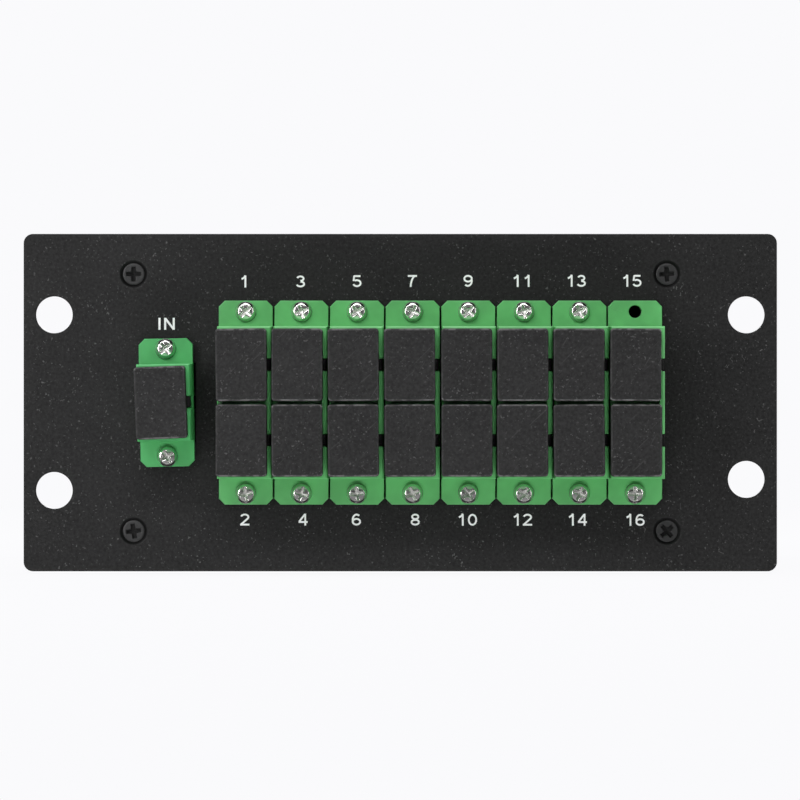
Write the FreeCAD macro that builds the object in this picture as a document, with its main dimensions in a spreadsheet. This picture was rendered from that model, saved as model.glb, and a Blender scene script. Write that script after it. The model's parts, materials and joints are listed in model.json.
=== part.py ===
import FreeCAD
import Part
import Sketcher
import os

# Plug-in fibre splitter module: one input, sixteen outputs, angled SC sockets under dust caps.
# X runs to the right, Y runs back into the rack, Z runs up. Millimetres and degrees.
# The origin is the middle of the underside of the whole module.

DIMENSIONS = [
    # Front plate and its holes, heights counted from the middle of the plate.
    ("plate_width", 129.5),
    ("plate_height", 58.0),
    ("plate_thickness", 1.5),
    ("plate_corner_radius", 1.6),
    ("rack_hole", 6.35),
    ("rack_hole_reach", 59.5),
    ("left_hole_rise", 15.1),
    ("left_hole_drop", 15.1),
    ("right_hole_rise", 15.1),
    ("right_hole_drop", 13.2),
    ("plate_screw_reach", 45.85),
    ("plate_screw_rise", 22.1),
    ("plate_screw_hole", 2.7),
    ("countersink_width", 4.7),
    ("window_clearance", 0.2),
    # Duplex and simplex adapters.
    ("adapter_count", 8),
    ("adapter_pitch", 9.54),
    ("first_adapter_place", -26.5),
    ("port_pitch", 12.8),
    ("flange_width", 9.3),
    ("flange_thickness", 2.0),
    ("duplex_flange_height", 35.0),
    ("simplex_flange_height", 22.0),
    ("flange_corner_cut", 1.05),
    ("duplex_ear_spacing", 31.2),
    ("simplex_ear_spacing", 18.5),
    ("ear_hole", 2.2),
    ("tapped_hole", 2.0),
    ("adapter_body_width", 9.15),
    ("socket_width", 7.4),
    ("socket_height", 9.0),
    ("end_wall", 2.05),
    ("web_recess", 3.0),
    ("front_body_length", 11.5),
    ("rear_body_length", 13.8),
    ("rim_cut", 0.25),
    ("key_slot_height", 2.2),
    ("key_slot_length", 10.0),
    ("input_place", -40.1),
    ("input_lean", 1.0),
    # Latch inserts and the connectors plugged in from behind.
    ("insert_clearance", 0.05),
    ("insert_web", 1.5),
    ("sleeve_holder", 4.9),
    ("sleeve_holder_bore", 2.6),
    ("sleeve_holder_length", 8.0),
    ("latch_width", 3.0),
    ("latch_thickness", 0.6),
    ("latch_length", 7.6),
    ("connector_length", 23.0),
    ("boot_width", 4.6),
    ("boot_length", 14.0),
    # Dust caps.
    ("cap_head_width", 8.65),
    ("cap_head_height", 12.25),
    ("cap_head_depth", 3.7),
    ("cap_head_shift", 0.45),
    ("cap_corner_cut", 0.45),
    ("cap_edge_cut", 0.3),
    ("cap_plug_clearance", 0.15),
    ("cap_plug_length", 4.8),
    ("cap_plug_wall", 0.75),
    ("cap_key_height", 1.8),
    ("cap_key_rise", 0.9),
    ("input_cap_lean", 1.2),
    ("input_cap_play", 0.03),
    # Screws.
    ("ear_screw_head", 3.45),
    ("ear_screw_head_height", 1.2),
    ("ear_screw_shank", 1.9),
    ("ear_screw_length", 5.0),
    ("plate_screw_head", 3.9),
    ("plate_screw_shank", 2.4),
    ("plate_screw_length", 6.0),
    ("lid_screw_head", 4.2),
    ("lid_screw_head_height", 1.3),
    ("lid_screw_shank", 2.2),
    ("lid_screw_length", 4.0),
    ("lid_screw_setback", 50.0),
    ("screw_hole_clearance", 0.15),
    ("screw_clearance", 0.05),
    # Folded tray and lid.
    ("tray_width", 101.0),
    ("tray_height", 50.4),
    ("tray_depth", 100.0),
    ("sheet", 1.0),
    ("tray_bend_radius", 1.2),
    ("tab_width", 8.0),
    ("tab_height", 6.2),
    ("tab_thickness", 1.5),
    ("lid_lip_height", 8.0),
    ("lid_lip_setback", 3.0),
    ("lid_clearance", 0.1),
    # Splitter tube and the fibre coil round it, both lying on the tray floor.
    ("splitter_length", 60.0),
    ("splitter_width", 12.0),
    ("splitter_height", 4.0),
    ("coil_outer", 84.0),
    ("coil_inner", 72.0),
    ("coil_height", 5.0),
    ("coil_setback", 52.0),
]

# How far each dust cap leans from upright, top to the left, in port order.
CAP_LEANS = [0.6, 0.1, 0.0, 0.3, 0.4, 0.5, 0.5, 0.4, 0.1, 0.0, 0.3, 0.2, 0.0, 0.6, -0.3, 0.0]

# How far each dust cap lies to the left of the middle of its socket, in port order.
CAP_PLAYS = [
    -0.04, -0.04, 0.05, 0.05, 0.08, 0.08, 0.08, 0.02, -0.01, -0.06, 0.04, 0.08, 0.08, 0.04, 0.04, -0.08,
]

# Flats that stand for the round of what repeats many times or lies hidden.
SMALL_ROUND = 12
SCREW_HEAD_ROUND = 16
COIL_ROUND = 24

# The upper ear of the last adapter, over port 15, has lost its screw.
MISSING_SCREW = (7, 1)

doc = FreeCAD.newDocument("fibre_splitter")
sheet = doc.addObject("Spreadsheet::Sheet", "dims")
for row, (alias, number) in enumerate(DIMENSIONS, start=1):
    sheet.set("A" + str(row), alias)
    sheet.set("B" + str(row), str(number))
    sheet.setAlias("B" + str(row), alias)
doc.recompute()

# Places and sizes that follow from the driving dimensions.
CAP_FACE = "(dims.flange_thickness + dims.front_body_length + dims.cap_head_depth)"
BACK_Y = "((dims.plate_thickness + " + CAP_FACE + " - dims.tray_depth) / 2)"
MIDDLE_Z = "(dims.plate_height / 2)"
FRONT_Y = "(" + BACK_Y + " - dims.plate_thickness)"
RIM = "(dims.flange_thickness + dims.front_body_length)"
ADAPTER_MIDDLE = "((dims.rear_body_length - " + RIM + ") / 2)"
WEB_FRONT = "(" + ADAPTER_MIDDLE + " - dims.insert_web / 2)"
WEB_BACK = "(" + ADAPTER_MIDDLE + " + dims.insert_web / 2)"
DUPLEX_BODY_HEIGHT = "(dims.port_pitch + dims.socket_height + 2 * dims.end_wall)"
SIMPLEX_BODY_HEIGHT = "(dims.socket_height + 2 * dims.end_wall)"
TRAY_FLOOR = "(0 - dims.tray_height / 2 + dims.sheet)"
TRAY_RIM = "(dims.tray_height / 2 - dims.sheet)"


def value(text):
    """Number that an expression on the dimensions gives."""
    return float(sheet.evalExpression(text))


def adapter_x(index):
    """Expression for the middle of a duplex adapter, counted from the left."""
    return "(dims.first_adapter_place + " + str(index) + " * dims.adapter_pitch)"


def new_body(label, several=False):
    """Empty body whose label names its file; several lets it hold separate solids."""
    body = doc.addObject("PartDesign::Body", label)
    body.Label = label
    body.AllowCompound = several
    return body


def place(item, x="0", y=BACK_Y, z=MIDDLE_Z, lean=None):
    """Puts an object at a point given by expressions, leaning about the fore and aft axis."""
    if lean is not None:
        item.Placement = FreeCAD.Placement(
            FreeCAD.Vector(0, 0, 0), FreeCAD.Rotation(FreeCAD.Vector(0, -1, 0), 1)
        )
        item.setExpression("Placement.Rotation.Angle", lean)
    item.setExpression("Placement.Base.x", x)
    item.setExpression("Placement.Base.y", y)
    item.setExpression("Placement.Base.z", z)


def new_sketch(body, name, role="XZ_Plane", offset="0"):
    """Sketch on one of the body's own planes; on XZ_Plane the offset runs forward, to minus Y."""
    sketch = body.newObject("Sketcher::SketchObject", name)
    plane = [item for item in body.Origin.OriginFeatures if item.Role == role][0]
    sketch.AttachmentSupport = [(plane, "")]
    sketch.MapMode = "FlatFace"
    sketch.setExpression("AttachmentOffset.Base.z", offset)
    return sketch


def constrain(sketch, constraint, text):
    """Adds a constraint and binds its size to an expression."""
    index = sketch.addConstraint(constraint)
    sketch.setExpression("Constraints[" + str(index) + "]", text)


def add_rectangle(sketch, x, z, width, height):
    """Rectangle about the point x, z."""
    left = "(" + x + ") - (" + width + ") / 2"
    low = "(" + z + ") - (" + height + ") / 2"
    x0 = value(left)
    z0 = value(low)
    x1 = x0 + value(width)
    z1 = z0 + value(height)
    corners = [(x0, z0), (x1, z0), (x1, z1), (x0, z1)]
    first = sketch.GeometryCount
    for step in range(4):
        start = FreeCAD.Vector(corners[step][0], corners[step][1], 0)
        end = FreeCAD.Vector(corners[(step + 1) % 4][0], corners[(step + 1) % 4][1], 0)
        sketch.addGeometry(Part.LineSegment(start, end))
    for step in range(4):
        after = first + (step + 1) % 4
        sketch.addConstraint(Sketcher.Constraint("Coincident", first + step, 2, after, 1))
    sketch.addConstraint(Sketcher.Constraint("Horizontal", first))
    sketch.addConstraint(Sketcher.Constraint("Horizontal", first + 2))
    sketch.addConstraint(Sketcher.Constraint("Vertical", first + 1))
    sketch.addConstraint(Sketcher.Constraint("Vertical", first + 3))
    constrain(sketch, Sketcher.Constraint("DistanceX", first, 1, first, 2, x1 - x0), width)
    constrain(sketch, Sketcher.Constraint("DistanceY", first + 1, 1, first + 1, 2, z1 - z0), height)
    constrain(sketch, Sketcher.Constraint("DistanceX", -1, 1, first, 1, x0), left)
    constrain(sketch, Sketcher.Constraint("DistanceY", -1, 1, first, 1, z0), low)


def add_circle(sketch, x, z, diameter):
    """Circle about the point x, z."""
    centre = FreeCAD.Vector(value(x), value(z), 0)
    size = value(diameter)
    index = sketch.addGeometry(Part.Circle(centre, FreeCAD.Vector(0, 0, 1), size / 2))
    constrain(sketch, Sketcher.Constraint("DistanceX", -1, 1, index, 3, centre.x), x)
    constrain(sketch, Sketcher.Constraint("DistanceY", -1, 1, index, 3, centre.y), z)
    constrain(sketch, Sketcher.Constraint("Diameter", index, size), diameter)


def pad(body, name, sketch, length, backward=False):
    """Adds material from the sketch; backward runs to plus Y from an XZ sketch."""
    feature = body.newObject("PartDesign::Pad", name)
    feature.Profile = sketch
    feature.setExpression("Length", length)
    feature.Reversed = backward
    doc.recompute([body])
    return feature


def pocket(body, name, sketch, length, forward=False):
    """Cuts from the sketch, to plus Y from an XZ sketch unless forward, and proves the cut."""
    before = body.Shape.Volume
    feature = body.newObject("PartDesign::Pocket", name)
    feature.Profile = sketch
    feature.setExpression("Length", length)
    feature.Reversed = forward
    doc.recompute([body])
    if body.Shape.Volume >= before:
        raise RuntimeError(body.Label + " " + name + " cuts nothing")
    return feature


def edge_names(shape, wanted):
    """Names of the edges for which wanted is true."""
    return ["Edge" + str(i) for i, edge in enumerate(shape.Edges, start=1) if wanted(edge)]


def runs_along(edge, axis):
    """True for a straight edge along the axis, 0 for X, 1 for Y, 2 for Z."""
    if not isinstance(edge.Curve, Part.Line):
        return False
    return abs(abs(edge.Curve.Direction[axis]) - 1) < 1e-6


def at_y(edge, y):
    """True for an edge that lies wholly at one depth."""
    box = edge.BoundBox
    return abs(box.YMin - y) < 1e-4 and abs(box.YMax - y) < 1e-4


def dress(body, kind, name, base, names, size):
    """Fillet or chamfer on named edges of the feature base."""
    feature = body.newObject("PartDesign::" + kind, name)
    feature.Base = (base, names)
    feature.setExpression("Radius" if kind == "Fillet" else "Size", size)
    doc.recompute([body])
    return feature


def prism_hole(body, name, x, z, diameter, depth, offset, role="XZ_Plane"):
    """Bore of a small screw, cut from a plane at the offset; twelve flats stand for the round."""
    before = body.Shape.Volume
    feature = body.newObject("PartDesign::SubtractivePrism", name)
    plane = [item for item in body.Origin.OriginFeatures if item.Role == role][0]
    feature.AttachmentSupport = [(plane, "")]
    feature.MapMode = "FlatFace"
    feature.Polygon = SMALL_ROUND
    feature.setExpression("Circumradius", "(" + diameter + ") / 2")
    feature.setExpression("Height", depth)
    feature.setExpression("AttachmentOffset.Base.x", x)
    feature.setExpression("AttachmentOffset.Base.y", z)
    feature.setExpression("AttachmentOffset.Base.z", offset)
    doc.recompute([body])
    if body.Shape.Volume >= before:
        raise RuntimeError(body.Label + " " + name + " cuts nothing")
    return feature


def solid(kind, name, x="0", y="0", z="0", along=(0, 0, 1), **sizes):
    """Primitive whose own Z axis is laid along a direction, with its sizes given by expressions."""
    item = doc.addObject("Part::" + kind, name)
    for size, text in sizes.items():
        item.setExpression(size, text)
    turn = FreeCAD.Rotation(FreeCAD.Vector(0, 0, 1), FreeCAD.Vector(*along))
    item.Placement = FreeCAD.Placement(FreeCAD.Vector(0, 0, 0), turn)
    item.setExpression("Placement.Base.x", x)
    item.setExpression("Placement.Base.y", y)
    item.setExpression("Placement.Base.z", z)
    return item


def rod(name, sides, diameter, length, x="0", y="0", z="0", along=(0, 1, 0)):
    """Small round rod with the given number of flats."""
    radius = "(" + diameter + ") / 2"
    item = solid("Prism", name, x, y, z, along, Circumradius=radius, Height=length)
    item.Polygon = sides
    return item


def fused(name, pieces):
    """One solid from pieces that meet."""
    item = doc.addObject("Part::MultiFuse", name)
    item.Shapes = pieces
    return item


def group(label, members, x="0", y=FRONT_Y, z=MIDDLE_Z, lean=None):
    """Separate solids that share one label, placed together."""
    item = doc.addObject("Part::Compound", label)
    item.Label = label
    item.Links = members
    place(item, x, y, z, lean)
    return item


# Front plate: one wide window for the duplex adapters, whose pitch leaves no bar between them,
# a small window for the input, tapped holes for the ears, and countersunk holes to the tray.
plate = new_body("front_plate")
place(plate)
sketch = new_sketch(plate, "plate_outline")
add_rectangle(sketch, "0", "0", "dims.plate_width", "dims.plate_height")
slab = pad(plate, "plate_slab", sketch, "dims.plate_thickness")
upright = edge_names(slab.Shape, lambda edge: runs_along(edge, 1))
slab = dress(plate, "Fillet", "plate_corners", slab, upright, "dims.plate_corner_radius")

row_middle = "(dims.first_adapter_place + (dims.adapter_count - 1) * dims.adapter_pitch / 2)"
row_width = "((dims.adapter_count - 1) * dims.adapter_pitch + dims.adapter_body_width)"
clearance = " + 2 * dims.window_clearance"
sketch = new_sketch(plate, "window_outlines", offset="dims.plate_thickness")
add_rectangle(sketch, row_middle, "0", row_width + clearance, DUPLEX_BODY_HEIGHT + clearance)
add_rectangle(
    sketch,
    "dims.input_place",
    "0",
    "dims.adapter_body_width + " + SIMPLEX_BODY_HEIGHT + " * sin(dims.input_lean * 1 deg)" + clearance,
    SIMPLEX_BODY_HEIGHT + " + dims.adapter_body_width * sin(dims.input_lean * 1 deg)" + clearance,
)
pocket(plate, "windows", sketch, "dims.plate_thickness")

sketch = new_sketch(plate, "rack_hole_outlines", offset="dims.plate_thickness")
add_circle(sketch, "0 - dims.rack_hole_reach", "dims.left_hole_rise", "dims.rack_hole")
add_circle(sketch, "0 - dims.rack_hole_reach", "0 - dims.left_hole_drop", "dims.rack_hole")
add_circle(sketch, "dims.rack_hole_reach", "dims.right_hole_rise", "dims.rack_hole")
add_circle(sketch, "dims.rack_hole_reach", "0 - dims.right_hole_drop", "dims.rack_hole")
pocket(plate, "rack_holes", sketch, "dims.plate_thickness")


def ear_places():
    """Where the ear screws go, as expressions; the third value is false for the missing one."""
    places = []
    for index in range(int(value("dims.adapter_count"))):
        for side in (1, -1):
            height = str(side) + " * dims.duplex_ear_spacing / 2"
            places.append((adapter_x(index), height, (index, side) != MISSING_SCREW))
    for side in (1, -1):
        arm = str(side) + " * dims.simplex_ear_spacing / 2"
        across = "dims.input_place - " + arm + " * sin(dims.input_lean * 1 deg)"
        places.append((across, arm + " * cos(dims.input_lean * 1 deg)", True))
    return places


for number, (across, height, fitted) in enumerate(ear_places(), start=1):
    name = "tapped_hole_" + str(number)
    prism_hole(plate, name, across, height, "dims.tapped_hole", "dims.plate_thickness", "0")

CORNERS = [(-1, 1), (1, 1), (1, -1), (-1, -1)]
sketch = new_sketch(plate, "plate_screw_hole_outlines", offset="dims.plate_thickness")
for side, level in CORNERS:
    add_circle(
        sketch,
        str(side) + " * dims.plate_screw_reach",
        str(level) + " * dims.plate_screw_rise",
        "dims.plate_screw_hole",
    )
holes = pocket(plate, "plate_screw_holes", sketch, "dims.plate_thickness")
front = value("0 - dims.plate_thickness")
bore = value("dims.plate_screw_hole / 2")


def is_front_bore(edge):
    """True for the front edge of a plate screw hole."""
    if not isinstance(edge.Curve, Part.Circle) or not at_y(edge, front):
        return False
    return abs(edge.Curve.Radius - bore) < 1e-4 and abs(edge.Curve.Center.x) > bore


rims = [
    name
    for name in edge_names(holes.Shape, is_front_bore)
    if abs(abs(holes.Shape.getElement(name).Curve.Center.z) - value("dims.plate_screw_rise")) < 1e-4
]
dress(plate, "Chamfer", "countersinks", holes, rims, "(dims.countersink_width - dims.plate_screw_hole) / 2")


def make_adapter(label, x, flange_height, body_height, ear_spacing, ports, bare=None, lean=None):
    """Flanged adapter housing; its own zero is the back of the flange, at the adapter's middle."""
    body = new_body(label)
    place(body, x=x, y=FRONT_Y, lean=lean)
    outline = new_sketch(body, label + "_flange_outline")
    add_rectangle(outline, "0", "0", "dims.flange_width", flange_height)
    flange = pad(body, label + "_flange", outline, "dims.flange_thickness")
    corners = edge_names(flange.Shape, lambda edge: runs_along(edge, 1))
    dress(body, "Chamfer", label + "_flange_cuts", flange, corners, "dims.flange_corner_cut")
    for side, rise in (("upper", ear_spacing + " / 2"), ("lower", "0 - " + ear_spacing + " / 2")):
        name = label + "_" + side + "_ear_hole"
        if bare == side:
            outline = new_sketch(body, name + "_outline", offset="dims.flange_thickness")
            add_circle(outline, "0", rise, "dims.ear_hole")
            pocket(body, name, outline, "dims.flange_thickness")
        else:
            prism_hole(body, name, "0", rise, "dims.ear_hole", "dims.flange_thickness", "0")
    outline = new_sketch(body, label + "_front_outline", offset="dims.flange_thickness")
    add_rectangle(outline, "0", "0", "dims.adapter_body_width", body_height)
    nose = pad(body, label + "_front_body", outline, "dims.front_body_length")
    rim = value("0 - " + RIM)
    edges = edge_names(nose.Shape, lambda edge: at_y(edge, rim))
    dress(body, "Chamfer", label + "_rim_cut", nose, edges, "dims.rim_cut")
    outline = new_sketch(body, label + "_rear_outline")
    add_rectangle(outline, "0", "0", "dims.adapter_body_width", body_height)
    pad(body, label + "_rear_body", outline, "dims.rear_body_length", backward=True)
    outline = new_sketch(body, label + "_socket_outline", offset=RIM)
    for height in ports:
        add_rectangle(outline, "0", height, "dims.socket_width", "dims.socket_height")
    pocket(body, label + "_sockets", outline, RIM + " + dims.rear_body_length")
    if len(ports) > 1:
        # The web between the two sockets stands back from the rim.
        outline = new_sketch(body, label + "_web_outline", offset=RIM)
        web_height = "dims.port_pitch - dims.socket_height / 2"
        add_rectangle(outline, "0", "0", "dims.socket_width", web_height)
        pocket(body, label + "_web_recess", outline, "dims.web_recess")
    # Key slots open through the right-hand wall, from the front and from the rear.
    wall = "(dims.adapter_body_width / 2 - dims.socket_width / 2)"
    middle = "dims.socket_width / 2 + " + wall + " / 2"
    for end, offset, forward in (("front", RIM, False), ("rear", "0 - dims.rear_body_length", True)):
        outline = new_sketch(body, label + "_" + end + "_key_outline", offset=offset)
        for height in ports:
            add_rectangle(outline, middle, height, wall + " * 2", "dims.key_slot_height")
        pocket(body, label + "_" + end + "_keys", outline, "dims.key_slot_length", forward=forward)
    return body


def make_insert(name, x, z):
    """Latch insert of one port: a web across the socket, the sleeve holder and two latch arms."""
    width = "(dims.socket_width - 2 * dims.insert_clearance)"
    height = "(dims.socket_height - 2 * dims.insert_clearance)"
    left = "(" + x + ") - (" + width + ") / 2"
    low = "(" + z + ") - (" + height + ") / 2"
    sizes = {"Length": width, "Width": "dims.insert_web", "Height": height}
    web = solid("Box", name + "_web", left, WEB_FRONT, low, **sizes)
    holder_y = WEB_FRONT + " - dims.sleeve_holder_length"
    overlap = " + dims.insert_web / 2"
    holder = rod(
        name + "_holder", SMALL_ROUND, "dims.sleeve_holder", "dims.sleeve_holder_length" + overlap,
        x, holder_y, z,
    )
    pieces = [web, holder]
    for side, rise in (("low", low), ("high", low + " + " + height + " - dims.latch_thickness")):
        sizes = {
            "Length": "dims.latch_width",
            "Width": "dims.latch_length" + overlap,
            "Height": "dims.latch_thickness",
        }
        start = "(" + x + ") - dims.latch_width / 2"
        latch_y = WEB_FRONT + " - dims.latch_length"
        pieces.append(solid("Box", name + "_latch_" + side, start, latch_y, rise, **sizes))
    whole_length = "dims.sleeve_holder_length + dims.insert_web"
    bore = rod(name + "_bore", 8, "dims.sleeve_holder_bore", whole_length, x, holder_y, z)
    insert = doc.addObject("Part::Cut", name)
    insert.Base = fused(name + "_body", pieces)
    insert.Tool = bore
    return insert


def make_connector(name, x, z):
    """Connector pushed in from behind: the square housing and the round boot on its tail."""
    width = "(dims.socket_width - 2 * dims.insert_clearance)"
    height = "(dims.socket_height - 2 * dims.insert_clearance)"
    left = "(" + x + ") - (" + width + ") / 2"
    low = "(" + z + ") - (" + height + ") / 2"
    sizes = {"Length": width, "Width": "dims.connector_length", "Height": height}
    housing = solid("Box", name + "_housing", left, WEB_BACK, low, **sizes)
    half = "dims.connector_length / 2"
    tail = WEB_BACK + " + " + half
    boot = rod(name + "_boot", SMALL_ROUND, "dims.boot_width", "dims.boot_length + " + half, x, tail, z)
    return fused(name, [housing, boot])


def make_cap(label, x, z, lean):
    """Dust cap: a plain block on the rim and a hollow plug with a key rib in the socket."""
    body = new_body(label)
    place(body, x=x, y=FRONT_Y, z=z, lean=lean)
    outline = new_sketch(body, label + "_head_outline", offset=RIM)
    add_rectangle(outline, "0 - dims.cap_head_shift", "0", "dims.cap_head_width", "dims.cap_head_height")
    head = pad(body, label + "_head", outline, "dims.cap_head_depth")
    corners = edge_names(head.Shape, lambda edge: runs_along(edge, 1))
    head = dress(body, "Chamfer", label + "_corner_cuts", head, corners, "dims.cap_corner_cut")
    face = value("0 - " + CAP_FACE)
    edges = edge_names(head.Shape, lambda edge: at_y(edge, face))
    dress(body, "Chamfer", label + "_edge_cut", head, edges, "dims.cap_edge_cut")
    width = "(dims.socket_width - 2 * dims.cap_plug_clearance)"
    height = "(dims.socket_height - 2 * dims.cap_plug_clearance)"
    outline = new_sketch(body, label + "_plug_outline", offset=RIM)
    add_rectangle(outline, "0", "0", width, height)
    pad(body, label + "_plug", outline, "dims.cap_plug_length", backward=True)
    outline = new_sketch(body, label + "_key_outline", offset=RIM)
    add_rectangle(
        outline, width + " / 2", "0", "2 * dims.cap_key_rise", "dims.cap_key_height"
    )
    pad(body, label + "_key", outline, "dims.cap_plug_length", backward=True)
    outline = new_sketch(body, label + "_hollow_outline", offset=RIM + " - dims.cap_plug_length")
    wall = " - 2 * dims.cap_plug_wall"
    add_rectangle(outline, "0", "0", width + wall, height + wall)
    pocket(body, label + "_hollow", outline, "dims.cap_plug_length", forward=True)
    return body


# The eight duplex adapters with their caps; odd ports above, even ports below.
duplex_ports = ["dims.port_pitch / 2", "0 - dims.port_pitch / 2"]
places = []
for index in range(int(value("dims.adapter_count"))):
    upper = 2 * index + 1
    lower = 2 * index + 2
    bare_ears = [("lower", "", "upper")[side + 1] for at, side in [MISSING_SCREW] if at == index]
    make_adapter(
        "adapter_ports_" + str(upper) + "_" + str(lower),
        adapter_x(index),
        "dims.duplex_flange_height",
        DUPLEX_BODY_HEIGHT,
        "dims.duplex_ear_spacing",
        duplex_ports,
        bare=bare_ears[0] if bare_ears else None,
    )
    for port, height in zip((upper, lower), duplex_ports):
        places.append((adapter_x(index), height))
        lean = str(CAP_LEANS[(port - 1) % len(CAP_LEANS)])
        across = adapter_x(index) + " - (" + str(CAP_PLAYS[(port - 1) % len(CAP_PLAYS)]) + ")"
        make_cap("dust_cap_" + str(port), across, MIDDLE_Z + " + " + height, lean)
members = [make_insert("insert_" + str(n), x, z) for n, (x, z) in enumerate(places, start=1)]
group("latch_inserts", members)
members = [make_connector("connector_" + str(n), x, z) for n, (x, z) in enumerate(places, start=1)]
group("output_connectors", members)

# The input adapter, which sits a little askew in its window, and its cap, which leans further.
make_adapter(
    "adapter_input",
    "dims.input_place",
    "dims.simplex_flange_height",
    SIMPLEX_BODY_HEIGHT,
    "dims.simplex_ear_spacing",
    ["0"],
    lean="dims.input_lean",
)
input_cap_x = "dims.input_place + dims.input_cap_play"
make_cap("dust_cap_input", input_cap_x, MIDDLE_Z, "dims.input_lean + dims.input_cap_lean")
insert = make_insert("insert_of_input", "0", "0")
group("input_latch_insert", [insert], x="dims.input_place", lean="dims.input_lean")
connector = make_connector("connector_of_input", "0", "0")
group("input_connector", [connector], x="dims.input_place", lean="dims.input_lean")

def make_screw(name, head, shank_diameter, shank_length, along, start):
    """One screw: the head with its shank, which starts inside the head at the given point."""
    shank = rod(name + "_shank", SMALL_ROUND, shank_diameter, shank_length, *start, along=along)
    return fused(name, [head, shank])


# Pan head ear screws, through the ears into the tapped plate.
members = []
for number, (across, height, fitted) in enumerate(ear_places(), start=1):
    if not fitted:
        continue
    name = "ear_screw_" + str(number)
    under_head = "(0 - dims.flange_thickness)"
    top = under_head + " - dims.ear_screw_head_height"
    head = rod(
        name + "_head", SCREW_HEAD_ROUND, "dims.ear_screw_head", "dims.ear_screw_head_height",
        across, top, height,
    )
    half = "dims.ear_screw_head_height / 2"
    start = (across, under_head + " - " + half, height)
    length = "dims.ear_screw_length + " + half
    members.append(make_screw(name, head, "dims.ear_screw_shank", length, (0, 1, 0), start))
group("ear_screws", members)

# Countersunk screws that hold the plate to the tray tabs, sunk a little below the plate's face.
sink = "((dims.countersink_width - dims.plate_screw_head) / 2)"
cone_height = "((dims.plate_screw_head - dims.plate_screw_shank) / 2)"
members = []
for number, (side, level) in enumerate(CORNERS, start=1):
    name = "plate_screw_" + str(number)
    across = str(side) + " * dims.plate_screw_reach"
    height = str(level) + " * dims.plate_screw_rise"
    sizes = {
        "Radius1": "dims.plate_screw_head / 2 - dims.screw_clearance",
        "Radius2": "dims.plate_screw_shank / 2 - dims.screw_clearance",
        "Height": cone_height,
    }
    head = solid("Cone", name + "_head", across, sink, height, (0, 1, 0), **sizes)
    start = (across, sink + " + " + cone_height, height)
    length = "dims.plate_screw_length - " + cone_height
    members.append(make_screw(name, head, "dims.plate_screw_shank", length, (0, 1, 0), start))
group("plate_screws", members)

# Folded tray: floor, two sides and rear wall, with corner tabs behind the plate.
tray = new_body("tray")
place(tray)
inner_width = "(dims.tray_width - 2 * dims.sheet)"
wall_height = "(dims.tray_height - dims.sheet)"
sketch = new_sketch(tray, "tray_outline")
add_rectangle(sketch, "0", "0 - dims.sheet / 2", "dims.tray_width", wall_height)
block = pad(tray, "tray_block", sketch, "dims.tray_depth", backward=True)
low = value("0 - dims.tray_height / 2")
bends = edge_names(
    block.Shape, lambda edge: runs_along(edge, 1) and abs(edge.BoundBox.ZMin - low) < 1e-4
)
dress(tray, "Fillet", "tray_bends", block, bends, "dims.tray_bend_radius")
sketch = new_sketch(tray, "tray_inside_outline")
add_rectangle(sketch, "0", "dims.sheet", inner_width, "dims.tray_height")
pocket(tray, "tray_inside", sketch, "dims.tray_depth - dims.sheet")
sketch = new_sketch(tray, "tab_outlines")
for side, level in CORNERS:
    across = str(side) + " * (" + inner_width + " - dims.tab_width) / 2"
    rise = str(level) + " * (dims.tray_height / 2 - dims.sheet - dims.tab_height / 2)"
    add_rectangle(sketch, across, rise, "dims.tab_width", "dims.tab_height")
pad(tray, "tabs", sketch, "dims.tab_thickness", backward=True)
for number, (side, level) in enumerate(CORNERS, start=1):
    prism_hole(
        tray,
        "tab_hole_" + str(number),
        str(side) + " * dims.plate_screw_reach",
        str(level) + " * dims.plate_screw_rise",
        "dims.plate_screw_shank + dims.screw_hole_clearance",
        "dims.tab_thickness",
        "0 - dims.tab_thickness",
    )
lid_screw_z = "(" + TRAY_RIM + " - dims.lid_lip_height / 2)"
lid_screw_hole = "dims.lid_screw_shank + dims.screw_hole_clearance"
side_bore = (lid_screw_hole, "dims.tray_width", "0 - dims.tray_width / 2", "YZ_Plane")
prism_hole(tray, "lid_screw_holes", "dims.lid_screw_setback", lid_screw_z, *side_bore)

# Lid: a flat sheet on the tray walls with two lips inside them.
lid = new_body("lid")
place(lid)
sketch = new_sketch(lid, "lid_outline")
add_rectangle(sketch, "0", "(dims.tray_height - dims.sheet) / 2", "dims.tray_width", "dims.sheet")
sheet_top = pad(lid, "lid_sheet", sketch, "dims.tray_depth", backward=True)
high = value("dims.tray_height / 2")
bends = edge_names(
    sheet_top.Shape, lambda edge: runs_along(edge, 1) and abs(edge.BoundBox.ZMin - high) < 1e-4
)
dress(lid, "Chamfer", "lid_edges", sheet_top, bends, "dims.sheet / 2")
sketch = new_sketch(lid, "lip_outlines", offset="0 - dims.lid_lip_setback")
lip_reach = "((" + inner_width + " - dims.sheet) / 2 - dims.lid_clearance)"
for side in ("", "0 - "):
    add_rectangle(
        sketch,
        side + lip_reach,
        TRAY_RIM + " - dims.lid_lip_height / 2",
        "dims.sheet",
        "dims.lid_lip_height",
    )
lip_length = "dims.tray_depth - dims.sheet - dims.lid_clearance - dims.lid_lip_setback"
pad(lid, "lips", sketch, lip_length, backward=True)
prism_hole(lid, "lip_holes", "dims.lid_screw_setback", lid_screw_z, *side_bore)

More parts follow.
